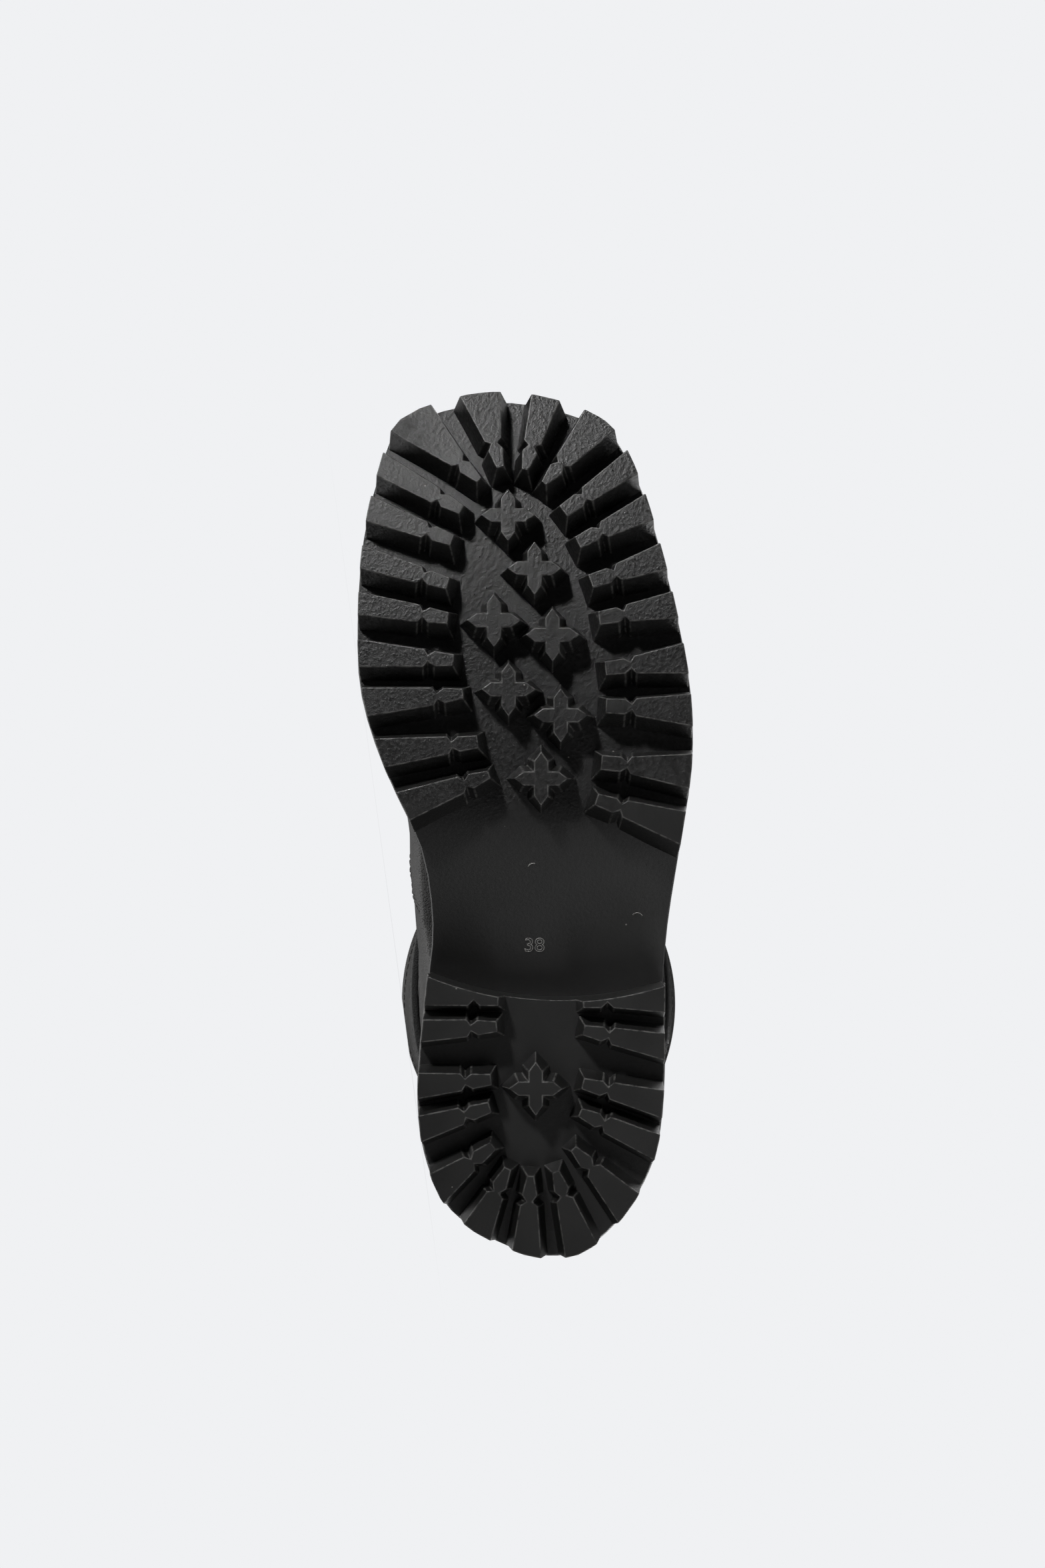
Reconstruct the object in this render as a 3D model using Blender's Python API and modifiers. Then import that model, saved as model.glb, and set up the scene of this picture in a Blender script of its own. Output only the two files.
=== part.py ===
"""Biker boot, left foot, on a lug sole, laid down on its medial side.

Every piece is drawn in the boot's own upright frame, in millimetres: u runs forward from the
back of the heel, v out to the lateral side and w up from the ground under the heel. One empty
then lays the boot on its medial side in the world frame, in metres.
"""

import math

import bmesh
import bpy
from mathutils import Matrix, Vector

MM = 0.001

# ---------------------------------------------------------------- driving sizes (millimetres)

SOLE_LENGTH = 291.0
LUG_DEPTH = 10.0
PLATE_THICKNESS = 6.0
MIDSOLE_THICKNESS = 4.0
INSOLE_THICKNESS = 3.0
UPPER_WALL = 2.2
SEAT_GAP = 0.35

TOE_SPRING = 25.0
SPRING_START = 160.0
SPRING_POWER = 1.9
SOLE_LEAN = 0.85  # how far the walls of lugs and layers turn with the toe, 1 being square to it

HEEL_RISE = 19.0
ARCH_FRONT = 152.0
ARCH_BACK = 82.0
BREAST_CENTRE = (202.0, 6.3)
BREAST_RADIUS = 117.0
HEEL_BLOCK_LENGTH = 105.0
HEEL_BLOCK_SPAN = 50.0

# How the boot lies: toe end down, then rolled until the collar touches.
LIE_PITCH = math.radians(7.5588)
LIE_ROLL = math.radians(2.6239)
LIE_SHIFT = (0.14461, -0.14026, 0.03448)

# Plan of the sole, a row for each station: distance forward, medial edge, lateral edge.
SOLE_PLAN = (
    ("heel_back", 0.4, -6.0, 13.0),
    ("heel_turn", 13.0, -29.0, 28.0),
    ("heel_side", 32.0, -38.8, 38.4),
    ("heel_wide", 56.0, -41.5, 41.7),
    ("breast", 88.0, -38.8, 42.0),
    ("waist", 110.0, -36.7, 43.3),
    ("shank_end", 136.0, -40.3, 46.9),
    ("joint", 163.0, -52.5, 50.9),
    ("ball", 188.0, -60.2, 50.7),
    ("ball_wide", 213.0, -61.7, 46.7),
    ("toe_side", 242.0, -60.0, 39.9),
    ("toe_turn", 266.0, -54.8, 32.2),
    ("toe_corner", 282.0, -47.9, 21.8),
    ("toe_front", 290.8, -25.0, -2.0),
)
TOE_AXIS = -13.5

# Bars of the tread: outer end u, v, inner tip u, v, width at the outer end, width at the tip.
FOREFOOT_LUGS = (
    ("toe_corner_m", 282.3, -43.7, 260.3, -20.7, 16.3, 2.2),
    ("medial_1", 266.7, -55.6, 250.0, -26.6, 8.2, 3.4),
    ("medial_2", 251.0, -59.0, 239.6, -29.7, 9.0, 4.0),
    ("medial_3", 234.1, -60.7, 224.9, -31.0, 8.0, 4.2),
    ("medial_4", 218.2, -61.1, 213.1, -30.9, 7.8, 3.9),
    ("medial_5", 201.4, -60.6, 199.0, -29.0, 9.3, 4.0),
    ("medial_6", 184.9, -59.1, 187.7, -25.8, 10.0, 3.4),
    ("medial_7", 167.8, -53.8, 171.7, -20.9, 10.1, 4.3),
    ("medial_8", 150.3, -45.3, 160.8, -17.0, 10.3, 2.7),
    ("toe_m", 290.1, -20.1, 264.7, -13.5, 13.7, 2.6),
    ("toe_l", 289.4, 1.8, 263.8, -5.3, 9.9, 2.0),
    ("toe_corner_l", 281.5, 20.2, 259.2, 1.2, 12.5, 2.0),
    ("lateral_1", 266.5, 31.1, 249.5, 7.7, 8.7, 4.6),
    ("lateral_2", 251.0, 36.8, 238.8, 12.5, 9.3, 4.4),
    ("lateral_3", 234.0, 41.4, 225.5, 16.8, 9.5, 5.0),
    ("lateral_4", 217.8, 45.3, 213.1, 19.5, 9.2, 4.6),
    ("lateral_5", 199.7, 48.6, 196.2, 21.6, 10.4, 4.7),
    ("lateral_6", 182.4, 50.5, 183.7, 21.8, 10.9, 5.0),
    ("lateral_7", 161.9, 50.2, 164.8, 20.2, 11.8, 5.0),
    ("lateral_8", 143.1, 47.3, 152.5, 18.6, 11.2, 4.1),
)
HEEL_LUGS = (
    ("heel_medial_1", 75.3, -39.9, 76.8, -14.5, 7.7, 3.6),
    ("heel_medial_2", 57.0, -41.1, 59.1, -16.4, 8.8, 3.8),
    ("heel_medial_3", 42.6, -40.5, 49.9, -16.8, 8.8, 3.8),
    ("heel_medial_4", 22.3, -35.4, 37.1, -15.7, 11.1, 3.2),
    ("heel_medial_5", 7.2, -21.7, 29.6, -10.9, 11.0, 2.5),
    ("heel_back", 1.5, -4.7, 27.1, -3.3, 9.8, 2.4),
    ("heel_lateral_5", 4.3, 12.9, 28.6, 5.0, 10.9, 2.5),
    ("heel_lateral_4", 16.4, 29.5, 36.2, 10.9, 11.9, 2.5),
    ("heel_lateral_3", 36.5, 39.0, 48.2, 13.1, 8.7, 3.2),
    ("heel_lateral_2", 50.9, 41.1, 57.8, 14.0, 9.5, 3.8),
    ("heel_lateral_1", 70.1, 41.3, 75.6, 14.3, 8.9, 3.4),
)
# Distance back from the tip and half width of each turn of a bar's notched end.
NOTCH_SHOULDER = (6.5, 2.6)
NOTCH_NECK = (8.7, 1.1)
NOTCH_START = (10.0, 3.0)
LUG_DRAFT = 2.7
LUG_SINK = 2.5
LUG_OVERRUN = 5.0
LUG_INSET = 0.4
TRIM_MARGIN = 6.0

# The two bars along the breast: side, inner end v, edge u at the inner end and at the rim.
BREAST_LUGS = (
    ("breast_medial", -1, 14.0, 83.6, 83.9),
    ("breast_lateral", 1, 14.2, 82.9, 79.6),
)
BREAST_NOTCH = 22.3
BREAST_NOTCH_HALF = 2.0
BREAST_NOTCH_DEEP = 1.9
BREAST_RIM = 48.0
BREAST_FRONT = 105.0

# Cross studs down the middle: centre u, v.
FOREFOOT_STUDS = (
    (248.2, -10.9), (230.0, -2.0), (212.4, -15.6), (207.5, 4.0),
    (189.2, -10.7), (180.5, 6.7), (159.4, 0.2),
)
HEEL_STUDS = ((56.1, -1.6),)
STUD_REACH = 9.1
STUD_SHOULDER = 5.8
STUD_HALF_WIDTH = 2.4

# Side profile of each layer: height share, how far its edge stands out.
PLATE_EDGE = ((0.0, -0.4), (0.12, 0.0), (0.56, 0.0), (0.66, -0.9), (1.0, -0.9))
MIDSOLE_EDGE = ((0.0, -1.2), (0.5, -1.2), (0.6, -0.5), (1.0, -0.5))
HEEL_EDGE = ((0.0, -0.4), (0.1, 0.0), (0.4, 0.0), (0.44, -0.7), (1.0, -0.7))

# Sections of the upper, from the feather edge to the collar. Each is a tilted closed loop:
# back u, w, front u, w, medial and lateral half width, foot (share of the sole's own plan in
# its shape), arch (share of its width that it keeps on the medial side over the waist) and
# cling (share of the sole's rise and fall that its edge follows).
UPPER_SECTIONS = (
    ("feather", 8.5, 39.6, 279.2, 42.6, 54.0, 44.0, 1.00, 0.00, 1.00),
    ("bulge", 6.0, 47.0, 282.2, 51.0, 56.5, 46.5, 1.00, 0.66, 1.00),
    ("wall", 4.6, 55.0, 282.6, 62.0, 56.5, 46.5, 0.90, 0.71, 0.90),
    ("toe_shoulder", 4.0, 62.0, 279.2, 72.5, 54.0, 45.0, 0.75, 0.75, 0.80),
    ("toe_crown", 4.0, 69.0, 269.2, 80.5, 50.0, 42.0, 0.60, 0.80, 0.70),
    ("cap_end", 4.6, 76.0, 251.0, 85.0, 45.5, 39.5, 0.40, 0.93, 0.60),
    ("vamp", 5.6, 84.0, 226.0, 87.0, 44.0, 39.0, 0.25, 0.97, 0.45),
    ("vamp_back", 7.2, 92.0, 200.0, 90.5, 43.3, 39.5, 0.10, 1.00, 0.30),
    ("instep", 9.0, 101.0, 177.0, 98.0, 43.2, 41.0, 0.00, 1.00, 0.15),
    ("instep_high", 10.5, 111.0, 158.0, 112.0, 43.4, 42.5, 0.00, 1.00, 0.00),
    ("ankle", 11.4, 123.0, 145.0, 131.0, 44.0, 44.0, 0.00, 1.00, 0.00),
    ("ankle_top", 11.4, 138.0, 137.0, 152.0, 45.0, 45.5, 0.00, 1.00, 0.00),
    ("shaft_low", 10.0, 162.0, 132.0, 177.0, 47.0, 48.0, 0.00, 1.00, 0.00),
    ("shaft_mid", 7.0, 198.0, 130.0, 211.0, 50.2, 51.0, 0.00, 1.00, 0.00),
    ("shaft_high", 4.0, 238.0, 130.0, 248.0, 53.0, 53.6, 0.00, 1.00, 0.00),
    ("collar", 2.0, 276.0, 131.0, 284.0, 54.6, 55.4, 0.00, 1.00, 0.00),
)
ARCH_BLEND = 5.0
LOOP_POINTS = 42
FOOT_SECTIONS = 11
COLLAR_BAND = 22.0
COLLAR_BAND_STEP = 1.2

# The ankle strap: the section that its middle follows, its width, thickness and buckle.
STRAP_LEVEL = 10.35
STRAP_WIDTH = 26.0
STRAP_THICKNESS = 2.8
STRAP_GAP = 0.8
BUCKLE_ANGLE = math.radians(217.0)
BUCKLE_LONG = 27.0
BUCKLE_TALL = 35.0
BUCKLE_WIRE = 3.4
BUCKLE_LIFT = 3.7
BUCKLE_CORNER = 4.0
PRONG_WIDTH = 2.8
PRONG_GAP = 0.4
TAIL_WIDTH = 23.0
TAIL_THICKNESS = 2.5
KEEPER_AT = -29.0
KEEPER_LONG = 8.0
KEEPER_THICKNESS = 1.6
WALL_LEAN = 0.25


# ---------------------------------------------------------------- curves and heights


def smooth_step(x):
    x = min(max(x, 0.0), 1.0)
    return x * x * (3.0 - 2.0 * x)


def tread_height(u):
    """Height of the walking surface: flat, then turning up to the toe."""
    reach = max(0.0, (u - SPRING_START) / (SOLE_LENGTH - SPRING_START))
    return TOE_SPRING * reach ** SPRING_POWER


def tread_slope(u):
    """How steeply the walking surface climbs to the toe."""
    reach = max(0.0, (u - SPRING_START) / (SOLE_LENGTH - SPRING_START))
    return TOE_SPRING * SPRING_POWER * reach ** (SPRING_POWER - 1.0) / (SOLE_LENGTH - SPRING_START)


def leaned(u, rise):
    """Where a wall that starts at u on the walking surface has got to when it is this high."""
    return u - SOLE_LEAN * tread_slope(u) * rise


def height_stations():
    """Where the layers of the sole bend: the corners of the upper's own feather edge."""
    back, front = UPPER_SECTIONS[0][1], UPPER_SECTIONS[0][3]
    half = LOOP_POINTS // 2
    return [back + (1.0 - math.cos(math.pi * index / half)) / 2.0 * (front - back)
            for index in range(half + 1)]


def floor_curve(u):
    """Underside of the sole between the lugs, lifted under the arch and over the heel."""
    arch = smooth_step((ARCH_FRONT - u) / (ARCH_FRONT - ARCH_BACK))
    return LUG_DEPTH + tread_height(u) + HEEL_RISE * arch


def floor_height(u):
    """The underside as built, straight between stations so that stacked layers stay parallel."""
    stations = [0.0] + height_stations() + [SOLE_LENGTH]
    return interpolate(stations, [floor_curve(station) for station in stations], u)


def midsole_base(u):
    return floor_height(u) + PLATE_THICKNESS + SEAT_GAP


def feather_height(u):
    """Where the upper and the insole stand on the midsole."""
    return midsole_base(u) + MIDSOLE_THICKNESS + SEAT_GAP


def larger(one, other, blend):
    """The larger of two numbers, with a soft turn where they cross."""
    near = max(blend - abs(one - other), 0.0) / blend
    return max(one, other) + near * near * blend / 4.0


def catmull_rom(before, start, end, after, share):
    """One value of a smooth curve from start to end."""
    slope_in = (end - before) / 2.0
    slope_out = (after - start) / 2.0
    cube, square = share ** 3, share ** 2
    return ((2 * cube - 3 * square + 1) * start + (cube - 2 * square + share) * slope_in
            + (3 * square - 2 * cube) * end + (cube - square) * slope_out)


def closed_curve(points, steps):
    """A smooth closed curve through the points, as a list of points."""
    count = len(points)
    curve = []
    for index in range(count):
        four = [points[(index + shift) % count] for shift in (-1, 0, 1, 2)]
        for step in range(steps):
            share = step / steps
            curve.append(tuple(catmull_rom(*(p[axis] for p in four), share) for axis in (0, 1)))
    return curve


def sole_plan(steps=3, inset=0.0):
    """The sole's outline, medial side first, heel to toe and back."""
    medial = [(u, m) for _, u, m, _ in SOLE_PLAN]
    lateral = [(u, l) for _, u, _, l in reversed(SOLE_PLAN)]
    curve = closed_curve(medial + lateral, steps)
    return offset_loop(curve, -inset) if inset else curve


def offset_loop(loop, outwards):
    """Move each point of a closed plan loop along its own outward normal."""
    area = sum(a[0] * b[1] - b[0] * a[1] for a, b in zip(loop, loop[1:] + loop[:1]))
    turn = 1.0 if area > 0 else -1.0
    moved = []
    for index, point in enumerate(loop):
        before, after = loop[index - 1], loop[(index + 1) % len(loop)]
        along = Vector((after[0] - before[0], after[1] - before[1])).normalized()
        moved.append((point[0] + turn * along.y * outwards, point[1] - turn * along.x * outwards))
    return moved


def interpolate(xs, ys, x):
    """A value read from two matching lists, xs rising."""
    if x <= xs[0]:
        return ys[0]
    for index in range(1, len(xs)):
        if x <= xs[index]:
            share = (x - xs[index - 1]) / max(xs[index] - xs[index - 1], 1e-9)
            return ys[index - 1] + share * (ys[index] - ys[index - 1])
    return ys[-1]


# ---------------------------------------------------------------- mesh helpers


def new_object(name, mesh_builder, material, collection):
    mesh = bpy.data.meshes.new(name)
    mesh_builder.to_mesh(mesh)
    mesh_builder.free()
    mesh.materials.append(material)
    obj = bpy.data.objects.new(name, mesh)
    collection.objects.link(obj)
    return obj


def metres(builder):
    bmesh.ops.scale(builder, vec=(MM, MM, MM), verts=builder.verts)


def add_loft(builder, loops, caps=True):
    """Skin a stack of closed loops that have the same number of points."""
    rows = [[builder.verts.new(point) for point in loop] for loop in loops]
    count = len(rows[0])
    for low, high in zip(rows, rows[1:]):
        for index in range(count):
            after = (index + 1) % count
            builder.faces.new((low[index], low[after], high[after], high[index]))
    if caps:
        builder.faces.new(list(reversed(rows[0])))
        builder.faces.new(rows[-1])
    return rows


def outward(builder):
    bmesh.ops.recalc_face_normals(builder, faces=builder.faces)


def apply_boolean(target, cutter, operation):
    """Join or cut two mesh objects and keep the result in the first one's mesh."""
    modifier = target.modifiers.new(operation.lower(), "BOOLEAN")
    modifier.operation = operation
    modifier.solver = "EXACT"
    modifier.use_self = operation != "DIFFERENCE"
    modifier.object = cutter
    graph = bpy.context.evaluated_depsgraph_get()
    merged = bpy.data.meshes.new_from_object(target.evaluated_get(graph))
    target.modifiers.remove(modifier)
    old = target.data
    target.data = merged
    bpy.data.meshes.remove(old)
    bpy.data.objects.remove(cutter)
    tidy = bmesh.new()
    tidy.from_mesh(merged)
    bmesh.ops.remove_doubles(tidy, verts=tidy.verts, dist=0.00001)
    bmesh.ops.dissolve_degenerate(tidy, edges=tidy.edges, dist=0.00001)
    bmesh.ops.triangulate(tidy, faces=tidy.faces)
    tidy.to_mesh(merged)
    tidy.free()


def smooth(obj, angle=35.0):
    obj.data.shade_smooth()
    obj.data.set_sharp_from_angle(angle=math.radians(angle))


# ---------------------------------------------------------------- sole


def cut_at_stations(builder):
    """Cut a flat layer across wherever it will bend."""
    for cut in height_stations():
        everything = builder.verts[:] + builder.edges[:] + builder.faces[:]
        bmesh.ops.bisect_plane(builder, geom=everything, plane_co=(cut, 0, 0), plane_no=(1, 0, 0))


def plan_layer(edge_rows, thickness, base, rise):
    """A sheet with the sole's plan and stepped edges, its base that high above the tread."""
    builder = bmesh.new()
    loops = []
    for share, stand in edge_rows:
        height = share * thickness
        loops.append([(leaned(u, rise + height), v, height) for u, v in sole_plan(3, -stand)])
    add_loft(builder, loops)
    cut_at_stations(builder)
    for vert in builder.verts:
        vert.co.z += base(vert.co.x)
    bmesh.ops.triangulate(builder, faces=builder.faces)
    outward(builder)
    metres(builder)
    return builder


def lug_outline(outer, tip, outer_width, tip_width, grow):
    """Plan of one notched bar, from its tip out past the rim."""
    along = (Vector(outer) - Vector(tip))
    length = along.length
    along.normalize()
    across = Vector((-along.y, along.x))
    flare = (outer_width / 2 - NOTCH_START[1]) / (length - NOTCH_START[0])
    turns = [(-grow, tip_width / 2)]
    turns += [NOTCH_SHOULDER, NOTCH_NECK, NOTCH_START]
    turns.append((length + LUG_OVERRUN, outer_width / 2 + flare * LUG_OVERRUN))
    right = [Vector(tip) + along * far + across * (half + grow) for far, half in turns]
    left = [Vector(tip) + along * far - across * (half + grow) for far, half in turns]
    return right + left[::-1]


def stud_outline(centre, grow):
    """Plan of one cross stud with four pointed arms."""
    half = STUD_HALF_WIDTH + grow
    arm = ((half, half), (STUD_SHOULDER + grow * 0.6, half), (STUD_REACH + grow * 1.3, 0.0),
           (STUD_SHOULDER + grow * 0.6, -half))
    points = []
    for quarter in range(4):
        turn = Matrix.Rotation(-quarter * math.pi / 2, 2)
        points += [Vector(centre) + turn @ Vector(point) for point in arm]
    return points


def breast_lug_outline(side, inner, inner_edge, rim_edge, grow):
    """Plan of a bar along the breast, which the breast cut then trims."""
    low = inner_edge - grow
    rows = ((inner - grow, BREAST_FRONT), (inner - grow, low),
            (BREAST_NOTCH - BREAST_NOTCH_HALF, low), (BREAST_NOTCH, low + BREAST_NOTCH_DEEP),
            (BREAST_NOTCH + BREAST_NOTCH_HALF, low), (BREAST_RIM, rim_edge - grow),
            (BREAST_RIM, BREAST_FRONT))
    return [Vector((u, side * v)) for v, u in rows]


def add_lug(builder, outline_of, face_height):
    """A drafted block from its walking face down into the plate."""
    depth = LUG_DEPTH + LUG_SINK
    face = [(p.x, p.y, face_height(p.x)) for p in outline_of(0.0)]
    base = [(leaned(p.x, depth), p.y, face_height(p.x) + depth) for p in outline_of(LUG_DRAFT)]
    add_loft(builder, (face, base))


def lug_field(name, lugs, studs, breast_lugs, face_height, material, collection):
    """All bars and studs of one area, trimmed to the sole's plan."""
    builder = bmesh.new()
    for _, outer_u, outer_v, tip_u, tip_v, outer_width, tip_width in lugs:
        add_lug(builder, lambda grow: lug_outline((outer_u, outer_v), (tip_u, tip_v),
                                                  outer_width, tip_width, grow), face_height)
    for centre in studs:
        add_lug(builder, lambda grow: stud_outline(centre, grow), face_height)
    for _, side, inner, inner_edge, rim_edge in breast_lugs:
        add_lug(builder, lambda grow: breast_lug_outline(side, inner, inner_edge, rim_edge, grow),
                face_height)
    bmesh.ops.triangulate(builder, faces=builder.faces)
    outward(builder)
    metres(builder)
    field = new_object(name, builder, material, collection)

    rim = ((0.0, -LUG_INSET), (1.0, -LUG_INSET))
    trim = plan_layer(rim, LUG_DEPTH + 3.0 * TRIM_MARGIN,
                      lambda u: face_height(u) - TRIM_MARGIN, -TRIM_MARGIN)
    apply_boolean(field, new_object("trim", trim, material, collection), "INTERSECT")
    return field


def build_outsole(material, collection):
    builder = plan_layer(PLATE_EDGE, PLATE_THICKNESS, floor_height, LUG_DEPTH)
    outsole = new_object("outsole", builder, material, collection)
    lugs = lug_field("lugs", FOREFOOT_LUGS, FOREFOOT_STUDS, (), tread_height, material, collection)
    apply_boolean(outsole, lugs, "UNION")
    smooth(outsole, 25.0)
    return outsole


def build_heel(material, collection):
    """The heel block under the seat, with a hollow breast and its own lugs."""
    builder = bmesh.new()
    loops = []
    for share, stand in HEEL_EDGE:
        plan = [point for point in sole_plan(3, -stand) if point[0] < HEEL_BLOCK_LENGTH]
        split = next(i for i, (a, b) in enumerate(zip(plan, plan[1:])) if abs(a[1] - b[1]) > HEEL_BLOCK_SPAN)
        plan = plan[split + 1:] + plan[:split + 1]
        loops.append([(u, v, share) for u, v in plan])
    add_loft(builder, loops)
    cut_at_stations(builder)
    for vert in builder.verts:
        top = floor_height(vert.co.x) - SEAT_GAP
        vert.co.z = LUG_DEPTH + vert.co.z * (top - LUG_DEPTH)
    bmesh.ops.triangulate(builder, faces=builder.faces)
    outward(builder)
    metres(builder)
    heel = new_object("heel", builder, material, collection)
    lugs = lug_field("heel_lugs", HEEL_LUGS, HEEL_STUDS, BREAST_LUGS, lambda u: 0.0, material, collection)
    apply_boolean(heel, lugs, "UNION")

    cutter = bmesh.new()
    bmesh.ops.create_cone(cutter, cap_ends=True, segments=160, radius1=BREAST_RADIUS,
                          radius2=BREAST_RADIUS, depth=120.0)
    bmesh.ops.translate(cutter, verts=cutter.verts, vec=(*BREAST_CENTRE, 20.0))
    metres(cutter)
    apply_boolean(heel, new_object("breast_cut", cutter, material, collection), "DIFFERENCE")
    smooth(heel, 25.0)
    return heel


def build_midsole(material, collection):
    rise = LUG_DEPTH + PLATE_THICKNESS + SEAT_GAP
    builder = plan_layer(MIDSOLE_EDGE, MIDSOLE_THICKNESS, midsole_base, rise)
    midsole = new_object("midsole", builder, material, collection)
    smooth(midsole, 30.0)
    return midsole


# ---------------------------------------------------------------- upper


class PlanShape:
    """The sole's outline as two sides that can be read at any share of its length."""

    def __init__(self):
        curve = sole_plan(8)
        half = len(curve) // 2
        heel_start = -4
        ring = curve[heel_start:] + curve[:heel_start]
        self.medial = self.side(ring[:half + 1])
        self.lateral = self.side((ring[half:] + ring[:1])[::-1])

    @staticmethod
    def side(points):
        low = min(point[0] for point in points)
        high = max(point[0] for point in points)
        shares, edges = [], []
        for u, v in points:
            share = (u - low) / (high - low)
            if not shares or share > shares[-1]:
                shares.append(share)
                edges.append(v)
        widest = max(abs(edge) for edge in edges)
        return shares, [edge / widest for edge in edges]

    def read(self, medial, share):
        return interpolate(*(self.medial if medial else self.lateral), share)


def section_at(level):
    """A section of the upper between the table's rows, as numbers."""
    last = len(UPPER_SECTIONS) - 1
    index = min(int(level), last - 1)
    rows = [UPPER_SECTIONS[min(max(index + shift, 0), last)][1:] for shift in (-1, 0, 1, 2)]
    return [catmull_rom(*values, level - index) for values in zip(*rows)]


def upper_point(plan, level, angle):
    """A point on the outside of the upper. Angle 0 is the back, a quarter turn is medial."""
    back_u, back_w, front_u, front_w, medial, lateral, foot, arch, cling = section_at(level)
    share = (1.0 - math.cos(angle)) / 2.0
    on_medial = math.sin(angle) >= 0.0
    width = medial if on_medial else lateral
    u = back_u + share * (front_u - back_u)
    axis = TOE_AXIS * (u / SOLE_LENGTH) ** 3
    egg = axis - width * math.sin(angle)
    sole_side = width * plan.read(on_medial, share)
    if on_medial:
        sole_side = -larger(-sole_side, arch * width * math.sin(angle), ARCH_BLEND)
    v = foot * sole_side + (1.0 - foot) * egg
    sole_line = feather_height(back_u) + share * (feather_height(front_u) - feather_height(back_u))
    w = back_w + share * (front_w - back_w) + cling * (feather_height(u) - sole_line)
    return Vector((u, v, w))


def upper_normal(plan, level, angle):
    """Outward direction of the upper's surface."""
    top = len(UPPER_SECTIONS) - 1.001
    low, high = max(level - 0.05, 0.0), min(level + 0.05, top)
    rise = upper_point(plan, high, angle) - upper_point(plan, low, angle)
    turn = upper_point(plan, level, angle + 0.03) - upper_point(plan, level, angle - 0.03)
    return turn.cross(rise).normalized()


def loop_angles(count=LOOP_POINTS):
    return [2.0 * math.pi * index / count for index in range(count)]


def band_start_level(plan):
    """The level at which the collar band begins, measured down the back seam."""
    top = len(UPPER_SECTIONS) - 1.0
    level = top
    while (upper_point(plan, top, 0.0) - upper_point(plan, level, 0.0)).length < COLLAR_BAND:
        level -= 0.01
    return level


def build_upper(plan, material, collection):
    """One hollow wall, open at the collar and underneath, with a raised band at the collar."""
    top = len(UPPER_SECTIONS) - 1
    band = band_start_level(plan)
    stops = [step / 2 for step in range(FOOT_SECTIONS * 2)]
    stops += list(range(FOOT_SECTIONS, top + 1))
    rings = [(level, 0.0) for level in stops if level < band - 0.08]
    rings += [(band - 0.02, 0.0), (band + 0.02, COLLAR_BAND_STEP)]
    rings += [(level, COLLAR_BAND_STEP) for level in stops if level > band + 0.08]
    builder = bmesh.new()
    loops = []
    for level, stand in rings:
        loop = []
        for angle in loop_angles():
            point = upper_point(plan, level, angle)
            if stand:
                point = point + upper_normal(plan, level, angle) * stand
            loop.append(point)
        loops.append(loop)
    add_loft(builder, loops, caps=False)
    outward(builder)
    metres(builder)
    upper = new_object("upper", builder, material, collection)
    wall = upper.modifiers.new("wall", "SOLIDIFY")
    wall.thickness = UPPER_WALL * MM
    wall.offset = -1.0
    wall.use_even_offset = True
    smooth(upper, 40.0)
    return upper


def build_insole(plan, material, collection):
    """A sock that fills the foot of the upper and lies on the midsole."""
    inside = UPPER_WALL + 0.8
    builder = bmesh.new()
    loops = []
    for height in (0.0, INSOLE_THICKNESS):
        loop = [upper_point(plan, 0.0, angle) for angle in loop_angles()]
        flat = offset_loop([(point.x, point.y) for point in loop], -inside)
        loops.append([(u, v, height) for u, v in flat])
    add_loft(builder, loops)
    cut_at_stations(builder)
    for vert in builder.verts:
        vert.co.z += feather_height(vert.co.x)
    bmesh.ops.triangulate(builder, faces=builder.faces)
    outward(builder)
    metres(builder)
    insole = new_object("insole", builder, material, collection)
    smooth(insole, 30.0)
    return insole


# ---------------------------------------------------------------- ankle strap


class StrapPath:
    """Points beside the upper, by angle round the leg, distance up the wall and stand-off."""

    def __init__(self, plan):
        self.plan = plan

    def level_at(self, angle, up):
        """The level that lies a given distance up the wall from the strap's middle."""
        step = 0.02 if up >= 0 else -0.02
        level, travelled = STRAP_LEVEL, 0.0
        here = upper_point(self.plan, level, angle)
        while travelled < abs(up):
            there = upper_point(self.plan, level + step, angle)
            reach = (there - here).length
            if travelled + reach >= abs(up):
                return level + step * (abs(up) - travelled) / reach
            travelled, level, here = travelled + reach, level + step, there
        return level

    def point(self, angle, up, stand):
        level = self.level_at(angle, up)
        return (upper_point(self.plan, level, angle)
                + upper_normal(self.plan, level, angle) * stand)

    def angle_at(self, distance):
        """The angle that lies a given distance forward along the strap from the buckle."""
        step = math.radians(0.5) * (-1.0 if distance >= 0 else 1.0)
        angle, travelled = BUCKLE_ANGLE, 0.0
        here = upper_point(self.plan, STRAP_LEVEL, angle)
        while travelled < abs(distance):
            angle += step
            there = upper_point(self.plan, STRAP_LEVEL, angle)
            travelled += (there - here).length
            here = there
        return angle


def add_ring(builder, sections):
    """Skin closed sections into a ring that meets itself."""
    rows = [[builder.verts.new(point) for point in section] for section in sections]
    count = len(rows[0])
    for one, two in zip(rows, rows[1:] + rows[:1]):
        for index in range(count):
            after = (index + 1) % count
            builder.faces.new((one[index], one[after], two[after], two[index]))


def band_section(path, angle, width, low, high):
    """Cross section of a strap: along its inner face, then back over its outer face."""
    ups = [width * share for share in (-0.5, -0.2, 0.2, 0.5)]
    return ([path.point(angle, up, low) for up in ups]
            + [path.point(angle, up, high) for up in reversed(ups)])


def square_section(path, distance, ups_and_stands):
    """Points across the strap at one distance from the buckle, square to the strap."""
    return [path.point(path.angle_at(distance + up * WALL_LEAN), up, stand)
            for up, stand in ups_and_stands]


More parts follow.
